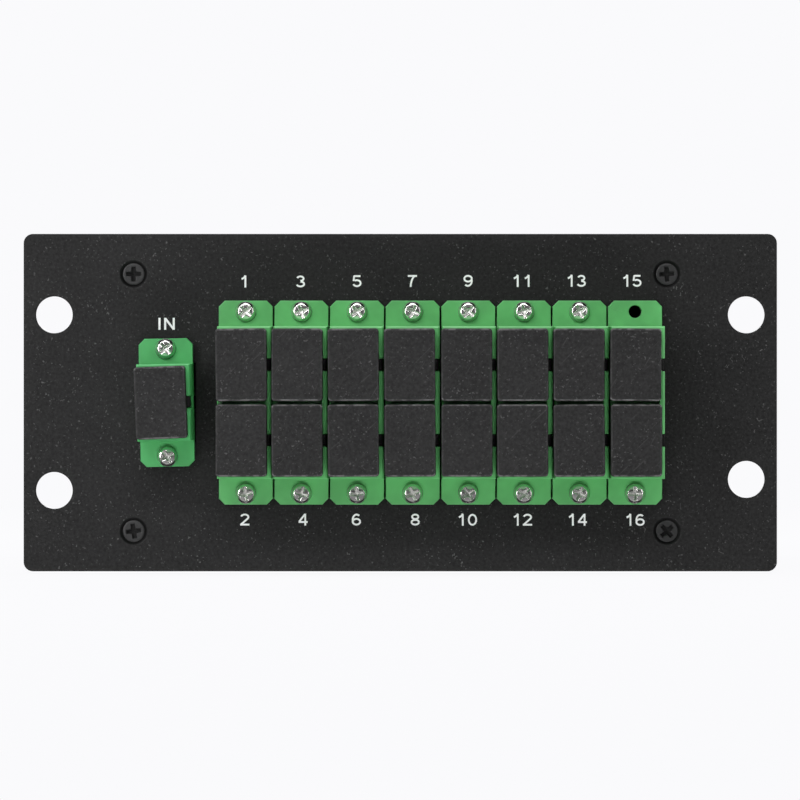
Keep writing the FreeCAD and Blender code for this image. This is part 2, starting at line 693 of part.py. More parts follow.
# Two pan head screws in the tray sides hold the lid lips.
members = []
for number, side in enumerate((-1, 1), start=1):
    name = "lid_screw_" + str(number)
    inward = (-side, 0, 0)
    seat = str(side) + " * dims.tray_width / 2"
    top = seat + " + " + str(side) + " * dims.lid_screw_head_height"
    across = "dims.lid_screw_setback"
    head = rod(
        name + "_head", SCREW_HEAD_ROUND, "dims.lid_screw_head", "dims.lid_screw_head_height",
        top, across, lid_screw_z, inward,
    )
    half = "dims.lid_screw_head_height / 2"
    start = (seat + " + " + str(side) + " * " + half, across, lid_screw_z)
    length = "dims.lid_screw_length + " + half
    members.append(make_screw(name, head, "dims.lid_screw_shank", length, inward, start))
group("lid_screws", members, y=BACK_Y)

# Splitter tube in the middle of the fibre coil, both on the tray floor.
sizes = {
    "Length": "dims.splitter_length",
    "Width": "dims.splitter_width",
    "Height": "dims.splitter_height",
}
tube = solid("Box", "splitter_tube", **sizes)
floor_z = MIDDLE_Z + " + " + TRAY_FLOOR
coil_y = BACK_Y + " + dims.coil_setback"
place(tube, "0 - dims.splitter_length / 2", coil_y + " - dims.splitter_width / 2", floor_z)
coil = doc.addObject("Part::Cut", "fibre_coil")
coil.Base = rod("coil_outside", COIL_ROUND, "dims.coil_outer", "dims.coil_height", along=(0, 0, 1))
coil.Tool = rod("coil_inside", COIL_ROUND, "dims.coil_inner", "dims.coil_height", along=(0, 0, 1))
place(coil, "0", coil_y, floor_z)

doc.recompute()

NODES = [
    item
    for item in doc.Objects
    if item.isDerivedFrom("PartDesign::Body")
    or item.isDerivedFrom("Part::Compound")
    or item in (tube, coil)
]
faults = []
for item in doc.Objects:
    if "Invalid" in item.State or "Error" in item.State:
        faults.append(item.Name + " " + str(item.State))
for item in NODES:
    if item.Shape.isNull() or not item.Shape.isValid() or item.Shape.Volume <= 0:
        faults.append(item.Label + " has no valid shape")
if faults:
    raise RuntimeError("; ".join(faults))

os.makedirs("parts", exist_ok=True)
for item in NODES:
    item.Shape.exportStep("parts/" + item.Label + ".step")
print(len(NODES), "nodes")
whole = FreeCAD.BoundBox()
for item in NODES:
    whole.add(item.Shape.BoundBox)
print("whole", whole)
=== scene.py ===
"""Looks of a plug-in fibre splitter module, dressed over its fixed model.

Lengths in the classes are millimetres and become metres when a mesh is made. X runs to the right,
Y back into the rack and Z up, as in the fixed model, and every piece keeps its place in its mesh.
"""

from __future__ import annotations

import json
import logging
import math
from collections.abc import Callable
from dataclasses import dataclass, field
from enum import Enum
from typing import ClassVar

import bmesh
import bpy
import numpy as np
from bmesh.types import BMEdge, BMesh
from bpy.types import ID, Material, Mesh, Node, NodeSocket, NodeTree, Object
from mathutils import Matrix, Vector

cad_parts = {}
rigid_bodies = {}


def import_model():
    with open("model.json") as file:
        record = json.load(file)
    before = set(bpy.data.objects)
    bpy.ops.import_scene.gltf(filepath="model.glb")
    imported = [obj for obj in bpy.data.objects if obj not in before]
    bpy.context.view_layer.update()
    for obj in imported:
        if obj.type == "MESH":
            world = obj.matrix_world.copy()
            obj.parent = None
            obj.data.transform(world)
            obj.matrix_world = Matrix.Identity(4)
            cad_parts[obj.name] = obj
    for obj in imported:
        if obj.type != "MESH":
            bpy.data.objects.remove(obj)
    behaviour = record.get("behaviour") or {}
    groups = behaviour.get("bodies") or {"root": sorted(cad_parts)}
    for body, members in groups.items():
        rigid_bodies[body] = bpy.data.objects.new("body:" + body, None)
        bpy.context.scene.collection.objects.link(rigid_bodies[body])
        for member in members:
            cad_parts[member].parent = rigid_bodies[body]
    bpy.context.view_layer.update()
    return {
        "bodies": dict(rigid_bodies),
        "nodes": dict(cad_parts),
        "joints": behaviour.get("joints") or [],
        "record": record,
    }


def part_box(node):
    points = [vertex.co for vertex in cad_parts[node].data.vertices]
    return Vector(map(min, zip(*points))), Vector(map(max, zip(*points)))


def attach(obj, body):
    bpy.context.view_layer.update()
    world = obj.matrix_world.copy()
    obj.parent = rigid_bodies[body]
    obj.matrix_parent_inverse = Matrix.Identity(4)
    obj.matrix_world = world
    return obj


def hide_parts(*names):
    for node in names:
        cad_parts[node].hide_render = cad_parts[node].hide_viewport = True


LOG = logging.getLogger("splitter_module")
MM = 0.001
ROOT = "module"

Colour = tuple[float, float, float]
Place = tuple[float, float, float]
Entries = dict[str | int, object]
Skin = tuple[np.ndarray, list[np.ndarray]]
MarkedSkin = tuple[np.ndarray, list[np.ndarray], np.ndarray]


class Side(Enum):
    """Which ear of an adapter a screw sits in."""

    UPPER = 1
    LOWER = -1


class HeadForm(Enum):
    """Form of a screw head."""

    PAN = "pan"
    COUNTERSUNK = "countersunk"


class Ray(Enum):
    """A kind of ray that a lamp can be hidden from."""

    CAMERA = "visible_camera"
    DIFFUSE = "visible_diffuse"
    GLOSSY = "visible_glossy"


# Meshes


def linked(name: str, data: ID) -> Object:
    """Puts a mesh, a lamp or a camera in the scene as an object at the origin."""
    made = bpy.data.objects.new(name, data)
    bpy.context.scene.collection.objects.link(made)
    return made


def build_mesh(
    name: str,
    points: np.ndarray,
    faces: list[np.ndarray],
    marks: dict[str, np.ndarray] | None = None,
) -> Object:
    """Makes an object at the origin from arrays.

    Args:
        name: Name of the object and its mesh.
        points: Corner points in millimetres, one row each.
        faces: Arrays of corner numbers; each array holds faces with equally many corners.
        marks: Attributes of the points, such as edge_wear_and_highlight or recess, from nought to one.

    Returns:
        The new object, smooth shaded, with its faces pointing outwards.
    """
    counts = np.concatenate([np.full(len(block), block.shape[1]) for block in faces])
    corners = np.concatenate([block.ravel() for block in faces]).astype(np.int32)
    starts = np.concatenate([[0], np.cumsum(counts)[:-1]]).astype(np.int32)
    mesh = bpy.data.meshes.new(name)
    mesh.vertices.add(len(points))
    mesh.vertices.foreach_set("co", (np.asarray(points) * MM).astype(np.float32).ravel())
    mesh.loops.add(len(corners))
    mesh.loops.foreach_set("vertex_index", corners)
    mesh.polygons.add(len(starts))
    mesh.polygons.foreach_set("loop_start", starts)
    mesh.update(calc_edges=True)
    for label, levels in (marks or {}).items():
        levels = levels.astype(np.float32)
        mesh.attributes.new(label, "FLOAT", "POINT").data.foreach_set("value", levels)
    mesh.validate()
    form = bmesh.new()
    form.from_mesh(mesh)
    bmesh.ops.remove_doubles(form, verts=form.verts, dist=1e-8)
    bmesh.ops.recalc_face_normals(form, faces=form.faces)
    form.to_mesh(mesh)
    form.free()
    mesh.shade_smooth()
    return linked(name, mesh)


def ring_faces(rings: int, across: int, start: int = 0) -> np.ndarray:
    """Quads between neighbouring closed rings of points.

    Args:
        rings: Number of rings.
        across: Points in each ring.
        start: Number of the first point.

    Returns:
        Corner numbers, four to a row.
    """
    row = np.arange(rings - 1)[:, None] * across
    column = np.arange(across)[None, :]
    after = (column + 1) % across
    quads = np.stack([row + column, row + across + column, row + across + after, row + after], -1)
    return quads.reshape(-1, 4) + start


def fan_faces(ring_start: int, across: int, centre: int) -> np.ndarray:
    """Triangles from a closed ring of points to one centre point."""
    column = np.arange(across)
    after = (column + 1) % across
    middle = np.full(across, centre)
    return np.stack([ring_start + column, ring_start + after, middle], -1)


def round_outline(width: float, height: float, radius: float, per_corner: int = 9) -> np.ndarray:
    """Rectangle with quarter circles for corners, counted round from the right-hand side.

    Args:
        width: Size along X.
        height: Size along Z.
        radius: Corner radius, kept under half of the smaller size.
        per_corner: Points on each quarter circle.

    Returns:
        Points in X and Z, one row each.
    """
    least = 1e-4
    radius = max(least, min(radius, width / 2 - least, height / 2 - least))
    turn = np.linspace(0, math.pi / 2, per_corner)
    angles = (turn[None, :] + np.arange(4)[:, None] * math.pi / 2).ravel()
    signs = np.array([(1, 1), (-1, 1), (-1, -1), (1, -1)], float)
    centres = signs * np.array([width / 2 - radius, height / 2 - radius])
    centres = np.repeat(centres, per_corner, axis=0)
    return centres + radius * np.stack([np.cos(angles), np.sin(angles)], -1)


@dataclass(frozen=True)
class Ring:
    """One round-cornered section of a loft: its size, corner radius, depth and sideways shift.

    Wear is what the attribute edge_wear_and_highlight gets there: one on an exposed edge, nought
    elsewhere.
    It paints broken pale lines that are partly wear and partly painted highlight.
    """

    width: float
    height: float
    radius: float
    depth: float
    shift: float = 0.0
    wear: float = 0.0


def inset_rings(
    width: float, height: float, sections: list[tuple[float, float, float]]
) -> list[Ring]:
    """Rings of one width and height, each with its inset all round, corner radius and depth."""
    return [Ring(width - 2 * inset, height - 2 * inset, *rest) for inset, *rest in sections]


def loft(rings: list[Ring], per_corner: int = 9) -> Skin:
    """Closed skin through round-cornered sections, with a point in the middle of each end.

    Each section is the outline of round_outline at its own depth along Y, and equal points of
    neighbouring sections are joined.

    Args:
        rings: The sections in order.
        per_corner: Points on each quarter circle.

    Returns:
        Points and faces.
    """
    across = 4 * per_corner
    flat = np.stack([round_outline(r.width, r.height, r.radius, per_corner) for r in rings])
    flat[:, :, 0] += np.array([r.shift for r in rings])[:, None]
    depth = np.repeat(np.array([r.depth for r in rings])[:, None], across, axis=1)
    body = np.stack([flat[:, :, 0], depth, flat[:, :, 1]], -1).reshape(-1, 3)
    ends = np.array([(rings[0].shift, rings[0].depth, 0), (rings[-1].shift, rings[-1].depth, 0)])
    count = len(body)
    faces = [
        ring_faces(len(rings), across),
        fan_faces(0, across, count),
        fan_faces(count - across, across, count + 1),
    ]
    return np.vstack([body, ends]), faces


def ring_wear(rings: list[Ring], per_corner: int = 9) -> np.ndarray:
    """Wear and painted highlight of every point of a loft through the rings."""
    along = np.repeat([ring.wear for ring in rings], 4 * per_corner)
    return np.concatenate([along, [rings[0].wear, rings[-1].wear]]).astype(np.float32)


def joined(parts: list[Skin]) -> Skin:
    """Puts several point and face sets into one, without merging them."""
    points = []
    faces = []
    base = 0
    for cloud, blocks in parts:
        points.append(cloud)
        faces.extend(block + base for block in blocks)
        base += len(cloud)
    return np.vstack(points), faces


def leaned(points: np.ndarray, degrees: float) -> np.ndarray:
    """Turns points about the Y axis, top to the left as seen from the front."""
    angle = math.radians(degrees)
    out = np.array(points, float)
    out[:, 0] = points[:, 0] * math.cos(angle) - points[:, 2] * math.sin(angle)
    out[:, 2] = points[:, 0] * math.sin(angle) + points[:, 2] * math.cos(angle)
    return out


def moved(points: np.ndarray, x: float, y: float, z: float) -> np.ndarray:
    """Shifts points."""
    return np.asarray(points, float) + np.array([x, y, z])


def face_numbers(mesh: Mesh, name: str) -> np.ndarray:
    """A measure of every face: its middle or normal as rows of three, or its area."""
    count = len(mesh.polygons)
    numbers = np.empty(count if name == "area" else count * 3, np.float32)
    mesh.polygons.foreach_get(name, numbers)
    return numbers if name == "area" else numbers.reshape(-1, 3)


def round_edges(form: BMesh, edges: list[BMEdge], width: float) -> None:
    """Replaces edges by two narrow faces each, over a width in millimetres."""
    bmesh.ops.bevel(
        form,
        geom=edges,
        offset=width * MM,
        offset_type="OFFSET",
        segments=2,
        profile=0.5,
        affect="EDGES",
        clamp_overlap=False,
    )


def outer_edges(form: BMesh, least: float) -> list[BMEdge]:
    """Outer edges of a closed mesh whose faces meet at more than an angle in degrees."""
    corner = math.radians(least)
    return [
        edge
        for edge in form.edges
        if edge.is_manifold and edge.is_convex and edge.calc_face_angle() > corner
    ]


def flatten_large(mesh: Mesh, least: float = 0.33) -> None:
    """Shades faces over an area in square millimetres flat where they lie square to an axis."""
    square = np.abs(face_numbers(mesh, "normal")).max(axis=1) > 0.9999
    large = face_numbers(mesh, "area") > least * MM * MM
    mesh.polygons.foreach_set("use_smooth", ~(square & large))


@dataclass(frozen=True)
class Softening:
    """How the edges of a fixed node are rounded in its copy.

    Attributes:
        width: Width of the rounding in millimetres.
        wide: Picks the edges that get a wider rounding first.
        wide_width: Width of that rounding in millimetres.
        corner: Outer edges over this angle in degrees are rounded.
        late_corner: The same for the edges left after a wider rounding.
        sharp: Edges under this angle in degrees are shaded smooth, so round holes look round.
    """

    width: float
    wide: Callable[[BMEdge], bool] | None = None
    wide_width: float = 0.0
    corner: float = 28.0
    late_corner: float = 50.0
    sharp: float = 16.0

    def copied(self, frame: dict, node: str, name: str) -> Object:
        """Copy of a fixed node with merged points and its outer edges rounded.

        Each rounded edge becomes two narrow faces. Faces of more than a third of a square
        millimetre that lie square to X, Y or Z are shaded flat.

        Args:
            node: The fixed node.
            name: Name of the copy.

        Returns:
            The copy, which stands for the node.
        """
        mesh = frame["nodes"][node].data.copy()
        mesh.name = name
        form = bmesh.new()
        form.from_mesh(mesh)
        bmesh.ops.remove_doubles(form, verts=form.verts, dist=2e-7)
        least = self.corner
        if self.wide is not None:
            chosen = [edge for edge in outer_edges(form, least) if self.wide(edge)]
            round_edges(form, chosen, self.wide_width)
            least = self.late_corner
        round_edges(form, outer_edges(form, least), self.width)
        bmesh.ops.remove_doubles(form, verts=form.verts, dist=1e-6)
        form.to_mesh(mesh)
        form.free()
        mesh.shade_smooth()
        mesh.set_sharp_from_angle(angle=math.radians(self.sharp))
        flatten_large(mesh)
        piece = linked(name, mesh)
        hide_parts(node)
        return piece


# Shader groups


class Shelf:
    """Lays out the nodes of one tree and joins them.

    COLOURS and BLENDED are the numbers of a Mix node's two colour inputs and of its colour
    result, whose names it uses more than once.
    """

    COLOURS = (6, 7)
    BLENDED = 2

    def __init__(self, tree: NodeTree) -> None:
        """Keeps the tree."""
        self.tree = tree

    def fill(self, made: Node, entries: Entries) -> Node:
        """Feeds sockets of a node, by name or number, from other sockets, colours or numbers."""
        for key, entry in entries.items():
            slot = made.inputs[key]
            if isinstance(entry, NodeSocket):
                self.tree.links.new(entry, slot)
            else:
                slot.default_value = (*entry, 1.0) if slot.type == "RGBA" else entry
        return made

    def node(self, kind: str, entries: Entries | None = None, **settings: object) -> Node:
        """Adds a node, sets its own options and feeds its sockets."""
        made = self.tree.nodes.new(kind)
        for key, setting in settings.items():
            setattr(made, key, setting)
        return self.fill(made, entries or {})

    def maths(self, operation: str, first: object, second: object) -> NodeSocket:
        """Math node on two sockets or numbers."""
        return self.node("ShaderNodeMath", {0: first, 1: second}, operation=operation).outputs[0]

    def ranged(
        self, source: NodeSocket, low: float, high: float, to_low: float = 0.0, to_high: float = 1.0
    ) -> NodeSocket:
        """Maps a range of values to another, clamped."""
        entries = {"Value": source, "From Min": low, "From Max": high}
        entries |= {"To Min": to_low, "To Max": to_high}
        return self.node("ShaderNodeMapRange", entries).outputs[0]

    def blend(self, factor: object, first: object, second: object) -> NodeSocket:
        """Mixes two colours."""
        entries = {0: factor, self.COLOURS[0]: first, self.COLOURS[1]: second}
        return self.node("ShaderNodeMix", entries, data_type="RGBA").outputs[self.BLENDED]

    def noise(
        self, place: NodeSocket, scale: object, detail: float = 2.0, rough: float = 0.5
    ) -> NodeSocket:
        """Noise at a place, from about nought to one."""
        entries = {"Vector": place, "Scale": scale, "Detail": detail, "Roughness": rough}
        return self.node("ShaderNodeTexNoise", entries).outputs[0]

    def mark(self, label: str) -> NodeSocket:
        """One of the attributes that the meshes carry, nought where a mesh has none."""
        return self.node("ShaderNodeAttribute", attribute_name=label).outputs["Fac"]

    def mixed(self, factor: object, first: object, second: object) -> NodeSocket:
        """Mixes two shaders."""
        return self.node("ShaderNodeMixShader", {0: factor, 1: first, 2: second}).outputs[0]


def new_group(name: str, inputs: dict[str, float], outputs: tuple[str, ...]) -> tuple[Shelf, Node, Node]:
    """Empty shader group that takes a vector and numbers and gives numbers.

    Args:
        name: Name of the group.
        inputs: The number sockets and their defaults.
        outputs: Names of the results.

    Returns:
        The group's shelf, its input node and its output node.
    """
    group = bpy.data.node_groups.new(name, "ShaderNodeTree")
    group.interface.new_socket(name="Vector", in_out="INPUT", socket_type="NodeSocketVector")
    for label, level in inputs.items():
        made = group.interface.new_socket(label, in_out="INPUT", socket_type="NodeSocketFloat")
        made.default_value = level
    for label in outputs:
        group.interface.new_socket(name=label, in_out="OUTPUT", socket_type="NodeSocketFloat")
    shelf = Shelf(group)
    return shelf, shelf.node("NodeGroupInput"), shelf.node("NodeGroupOutput")


def new_material(name: str) -> tuple[Material, Shelf, Node]:
    """New material, with the shelf of its tree and its shader."""
    made = bpy.data.materials.new(name)
    made.use_nodes = True
    return made, Shelf(made.node_tree), made.node_tree.nodes["Principled BSDF"]


def sand_grain() -> NodeTree:
    """Fine sandy grain: a height for the bump, a fine tone and a tone that drifts slowly."""
    shelf, inside, out = new_group("sand_grain", {"Scale": 3000.0}, ("Height", "Fine", "Tone"))
    place = inside.outputs["Vector"]
    scale = inside.outputs["Scale"]
    fine = shelf.noise(place, scale, 3.0, 0.65)
    pit_scale = shelf.maths("MULTIPLY", scale, 0.8)
    pits = shelf.node("ShaderNodeTexVoronoi", {"Vector": place, "Scale": pit_scale}).outputs[0]
    drift = shelf.noise(place, shelf.maths("MULTIPLY", scale, 0.05))
    results = {
        "Height": shelf.maths("ADD", fine, shelf.maths("MULTIPLY", pits, 0.6)),
        "Fine": shelf.ranged(fine, 0.32, 0.68),
        "Tone": shelf.ranged(drift, 0.3, 0.7),
    }
    shelf.fill(out, results)
    return shelf.tree


def pale_specks() -> NodeTree:
    """Sparse uneven specks, partly the surface's own and partly painted glints of its grain: the peaks
    of a fine noise, thinned out by a coarse one.
    """
    levels = {"Scale": 2400.0, "Level": 0.70}
    shelf, inside, out = new_group("pale_specks", levels, ("Mask",))
    place = inside.outputs["Vector"]
    scale = inside.outputs["Scale"]
    peaks = shelf.noise(place, scale, 1.0)
    over = shelf.maths("SUBTRACT", peaks, inside.outputs["Level"])
    patches = shelf.noise(place, shelf.maths("MULTIPLY", scale, 0.09))
    share = shelf.ranged(patches, 0.42, 0.62, 0.25)
    spots = shelf.ranged(over, 0.0, 0.06)
    shelf.fill(out, {"Mask": shelf.maths("MULTIPLY", spots, share)})
    return shelf.tree


def fine_scuffs() -> NodeTree:
    """Short fine scratches in two slanting directions: a mask that is one along a scratch."""
    shelf, inside, out = new_group("fine_scuffs", {"Scale": 180.0}, ("Mask",))
    masks = []
    for turn, thin in ((0.55, 0.06), (0.8, 0.045)):
        stretch = {
            "Vector": inside.outputs["Vector"],
            "Rotation": (0.0, turn, 0.0),
            "Scale": (thin, thin, 1.0),
        }
        place = shelf.node("ShaderNodeMapping", stretch, vector_type="TEXTURE").outputs[0]
        streak = shelf.noise(place, inside.outputs["Scale"], 1.0)
        masks.append(shelf.ranged(streak, 0.71, 0.76))
    shelf.fill(out, {"Mask": shelf.maths("MAXIMUM", masks[0], masks[1])})
    return shelf.tree


@dataclass
class SurfaceGroups:
    """The shader groups that several finishes share, each built once."""

    sand: NodeTree = field(default_factory=sand_grain)
    specks: NodeTree = field(default_factory=pale_specks)
    scuffs: NodeTree = field(default_factory=fine_scuffs)


# Finishes


def grey(level: float) -> Colour:
    """Neutral colour."""
    return (level, level, level)


def around(colour: Colour, spread: float) -> tuple[Colour, Colour]:
    """A darker and a lighter colour, each off by a share of the mean one."""
    dark = tuple(part * (1 - spread) for part in colour)
    light = tuple(min(1.0, part * (1 + spread)) for part in colour)
    return dark, light


@dataclass(frozen=True)
class Grain:
    """Sandy grain of a surface.

    Attributes:
        scale: Grains per metre.
        depth: Depth of the grain in millimetres.
        strength: Strength of its bump.
    """

    scale: float
    depth: float
    strength: float


@dataclass(frozen=True)
class Finish:
    """What the finishes have in common.

    Attributes:
        name: Name of the material.
        slot: The record's material slot that it belongs to; not used.
        colour: Linear base colour.
        roughness: Roughness of the plain surface.
        sand: Grain of the surface.
        specular: Strength of the surface's reflection.
        spread: How much smoother and how much rougher the grains are than the mean.
        GRAINY: Range of the grain's height that runs from smoothest to roughest.
    """

    GRAINY: ClassVar[tuple[float, float]] = (0.4, 1.2)

    name: str
    slot: str
    colour: Colour
    roughness: float
    sand: Grain = Grain(1900.0, 0.03, 0.5)
    specular: float = 0.5
    spread: tuple[float, float] = (0.08, 0.08)

    def start(self, groups: SurfaceGroups) -> tuple[Material, Shelf, Node, NodeSocket, Node]:
        """Starts a material with the sandy grain on its surface.

        Returns:
            The material, its shelf, its shader, its Object coordinates and the grain's node.
        """
        material, shelf, shader = new_material(self.name)
        place = shelf.node("ShaderNodeTexCoord").outputs["Object"]
        grains = {"Vector": place, "Scale": self.sand.scale}
        sand = shelf.node("ShaderNodeGroup", grains, node_tree=groups.sand)
        relief = {
            "Strength": self.sand.strength,
            "Distance": self.sand.depth * MM,
            "Height": sand.outputs["Height"],
        }
        bump = shelf.node("ShaderNodeBump", relief)
        entries = {"Normal": bump.outputs["Normal"], "Specular IOR Level": self.specular}
        shelf.fill(shader, entries)
        return material, shelf, shader, place, sand

    def rough(self, shelf: Shelf, source: NodeSocket, span: tuple[float, float]) -> NodeSocket:
        """Roughness that follows a tone or height of the grain over a span of it."""
        low, high = self.spread
        return shelf.ranged(source, *span, self.roughness - low, self.roughness + high)


@dataclass(frozen=True)
class SpeckledFinish(Finish):
    """Dark surface with a sandy grain, drifting tone, pale specks that are partly painted glints,
    scuffs, pale edge lines that are partly wear and partly painted highlight, and painted shade.

    Attributes:
        pale: Colour of the specks, which are partly painted glints, and of the scuffs.
        grain_tone: How much darker and lighter the grains are than the mean.
        speck_scale: Specks per metre, before most are thinned out.
        speck_level: Height of the noise above which a speck shows.
        scuff: How strongly scuffs show.
        wear: How strongly the attribute edge_wear_and_highlight shows, as broken pale lines that are
            partly
        wear and partly painted highlight.
        wear_scale: Breaks of a worn edge per metre.
        worn: Colour of a worn edge and of its painted highlight.
        shade: How much painted shade darkens the coat where the attribute recess is one.
    """

    pale: Colour = grey(0.11)
    grain_tone: float = 0.25
    speck_scale: float = 2600.0
    speck_level: float = 0.70
    scuff: float = 0.0
    wear: float = 0.0
    wear_scale: float = 900.0
    worn: Colour = grey(0.12)
    specular: float = 0.14
    shade: float = 0.85

    def material(self, groups: SurfaceGroups) -> Material:
        """Builds the material."""
        material, shelf, shader, place, sand = self.start(groups)
        tone = shelf.maths(
            "ADD",
            shelf.maths("MULTIPLY", sand.outputs["Fine"], 0.8),
            shelf.maths("MULTIPLY", sand.outputs["Tone"], 0.2),
        )
        colour = shelf.blend(tone, *around(self.colour, self.grain_tone))
        levels = {"Vector": place, "Scale": self.speck_scale, "Level": self.speck_level}
        specks = shelf.node("ShaderNodeGroup", levels, node_tree=groups.specks)
        # Pale specks: partly the coat's own speckle, partly painted glints on its grain.
        colour = shelf.blend(specks.outputs["Mask"], colour, self.pale)
        if self.scuff > 0:
            scuffs = shelf.node("ShaderNodeGroup", {"Vector": place}, node_tree=groups.scuffs)
            faint = shelf.maths("MULTIPLY", scuffs.outputs["Mask"], self.scuff)
            colour = shelf.blend(faint, colour, self.pale)
        # Broken pale lines on edge_wear_and_highlight: partly wear, partly painted highlight.
        if self.wear > 0:
            broken = shelf.ranged(shelf.noise(place, self.wear_scale, 3.0), 0.42, 0.62, 0.15)
            worn = shelf.maths("MULTIPLY", shelf.mark("edge_wear_and_highlight"), broken)
            colour = shelf.blend(shelf.maths("MULTIPLY", worn, self.wear), colour, self.worn)
        # Painted shade: the colour goes towards black where the attribute recess is one.
        shade = shelf.maths("MULTIPLY", shelf.mark("recess"), self.shade)
        shelf.fill(shader, {"Base Color": shelf.blend(shade, colour, grey(0.0))})
        shelf.fill(shader, {"Roughness": self.rough(shelf, sand.outputs["Height"], self.GRAINY)})
        return material


@dataclass(frozen=True)
class MouldedFinish(Finish):
    """Half-gloss moulded plastic with a faint flow tone and a very fine skin.

    Attributes:
        flow: How much darker and lighter the flow tone is than the mean.
        flow_scale: Size of the flow tone, in waves per metre.
    """

    sand: Grain = Grain(2200.0, 0.006, 0.25)
    specular: float = 0.3
    spread: tuple[float, float] = (0.05, 0.06)
    flow: float = 0.10
    flow_scale: float = 260.0

    def material(self, groups: SurfaceGroups) -> Material:
        """Builds the material."""
        material, shelf, shader, place, sand = self.start(groups)
        factor = shelf.ranged(shelf.noise(place, self.flow_scale), 0.35, 0.65)
        colour = shelf.blend(factor, *around(self.colour, self.flow))
        shelf.fill(shader, {"Base Color": colour})
        shelf.fill(shader, {"Roughness": self.rough(shelf, sand.outputs["Tone"], (0.0, 1.0))})
        return material


@dataclass(frozen=True)
class MetalFinish(Finish):
    """Plated or oxidised metal with fine wear in its gloss and painted shade in its recesses.

    Attributes:
        metallic: One for bare or plated metal, nought for an oxide skin.
        dirt: How dark the painted shade of the attribute recess makes the surface.
        dull: Share of the colour that is left where the grain's slow tone is darkest.
    """

    sand: Grain = Grain(5200.0, 0.004, 0.3)
    spread: tuple[float, float] = (0.05, 0.1)
    metallic: float = 1.0
    dirt: float = 0.0
    dull: float = 0.8

    def material(self, groups: SurfaceGroups) -> Material:
        """Builds the material."""
        material, shelf, shader, _, sand = self.start(groups)
        dark = tuple(part * self.dull for part in self.colour)
        colour = shelf.blend(sand.outputs["Tone"], dark, self.colour)
        # Painted shade: the colour goes towards black and the gloss dulls where the attribute recess is
        # one.
        dirt = shelf.maths("MULTIPLY", shelf.mark("recess"), self.dirt)
        rough = self.rough(shelf, sand.outputs["Height"], self.GRAINY)
        entries = {
            "Base Color": shelf.blend(dirt, colour, grey(0.002)),
            "Roughness": shelf.maths("MAXIMUM", rough, dirt),
            "Metallic": self.metallic,
        }
        shelf.fill(shader, entries)
        return material


@dataclass(frozen=True)
class PrintFinish(Finish):
    """Screen-printed paint that lets a little of the coat's grain through."""

    sand: Grain = Grain(3600.0, 0.012, 0.4)

    def material(self, groups: SurfaceGroups) -> Material:
        """Builds the material."""
        material, shelf, shader, _, sand = self.start(groups)
        worn = shelf.ranged(sand.outputs["Height"], 0.95, 1.15, 0.0, 0.25)
        colour = shelf.blend(worn, self.colour, grey(0.45))
        shelf.fill(shader, {"Base Color": colour, "Roughness": self.roughness})
        return material


@dataclass
class Finishes:
    """Every finish of the module, made once."""

    groups: SurfaceGroups = field(default_factory=SurfaceGroups)
    made: dict[str, Material] = field(default_factory=dict)

    # The coat's pale specks are partly painted glints.
    coat: SpeckledFinish = SpeckledFinish(
        "black_powder_coat",
        "black_powder_coat",
        (0.008, 0.008, 0.0081),
        0.55,
        pale=grey(0.07),
        grain_tone=0.8,
        speck_level=0.68,
    )
    # The cap's pale edge lines are partly wear and partly painted highlight; its key rib gets painted
    # shade.
    cap: SpeckledFinish = SpeckledFinish(
        "cap_plastic",
        "cap_plastic",
        (0.0125, 0.0125, 0.0127),
        0.55,
        Grain(1900.0, 0.035, 0.5),
        pale=grey(0.062),
        grain_tone=0.55,
        speck_level=0.66,
        scuff=0.25,
        wear=0.9,
    )
    green: MouldedFinish = MouldedFinish(
        "green_plastic", "green_plastic", (0.098, 0.395, 0.122), 0.46
    )
    input_green: MouldedFinish = MouldedFinish(
        "input_green_plastic", "green_plastic", (0.07, 0.365, 0.115), 0.5, specular=0.22
    )
    inner_green: MouldedFinish = MouldedFinish(
        "inner_green_plastic", "insert_plastic", (0.08, 0.33, 0.11), 0.45
    )
    plug_green: MouldedFinish = MouldedFinish(
        "plug_green_plastic", "connector_plastic", (0.10, 0.36, 0.13), 0.4
    )
    # Both screw finishes paint shade where the attribute recess is one.
    nickel: MetalFinish = MetalFinish(
        "bright_screws", "bright_screws", (0.86, 0.85, 0.83), 0.13, dirt=0.42
    )
    oxide: MetalFinish = MetalFinish(
        "black_screws",
        "black_screws",
        (0.009, 0.009, 0.0095),
        0.42,
        specular=0.36,
        metallic=0.0,
        dirt=0.97,
    )
    steel: MetalFinish = MetalFinish("splitter_steel", "splitter_steel", grey(0.6), 0.3)
    jacket: MouldedFinish = MouldedFinish(
        "fibre_jacket", "fibre_jacket", (0.75, 0.75, 0.72), 0.5
    )
    paint: PrintFinish = PrintFinish("white_print", "black_powder_coat", (0.92, 0.92, 0.93), 0.55)
    ceramic: MouldedFinish = MouldedFinish(
        "sleeve_ceramic", "insert_plastic", (0.85, 0.85, 0.82), 0.25, flow=0.03
    )

    def dress(self, piece: Object, finish: Finish) -> None:
        """Puts a finish on every slot of a piece."""
        if finish.name not in self.made:
            self.made[finish.name] = finish.material(self.groups)
        piece.data.materials.clear()
        piece.data.materials.append(self.made[finish.name])

    def fit(self, piece: Object, finish: Finish, body: str = ROOT) -> None:
        """Dresses a piece that the script made and lets it ride with a body."""
        self.dress(piece, finish)
        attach(piece, body)
        LOG.info("%s fitted", piece.name)


# Sizes shared by the pieces


def node_box(node: str) -> np.ndarray:
    """Lowest and highest corner of a fixed node, in millimetres."""
    return np.array([list(corner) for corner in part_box(node)]) / MM


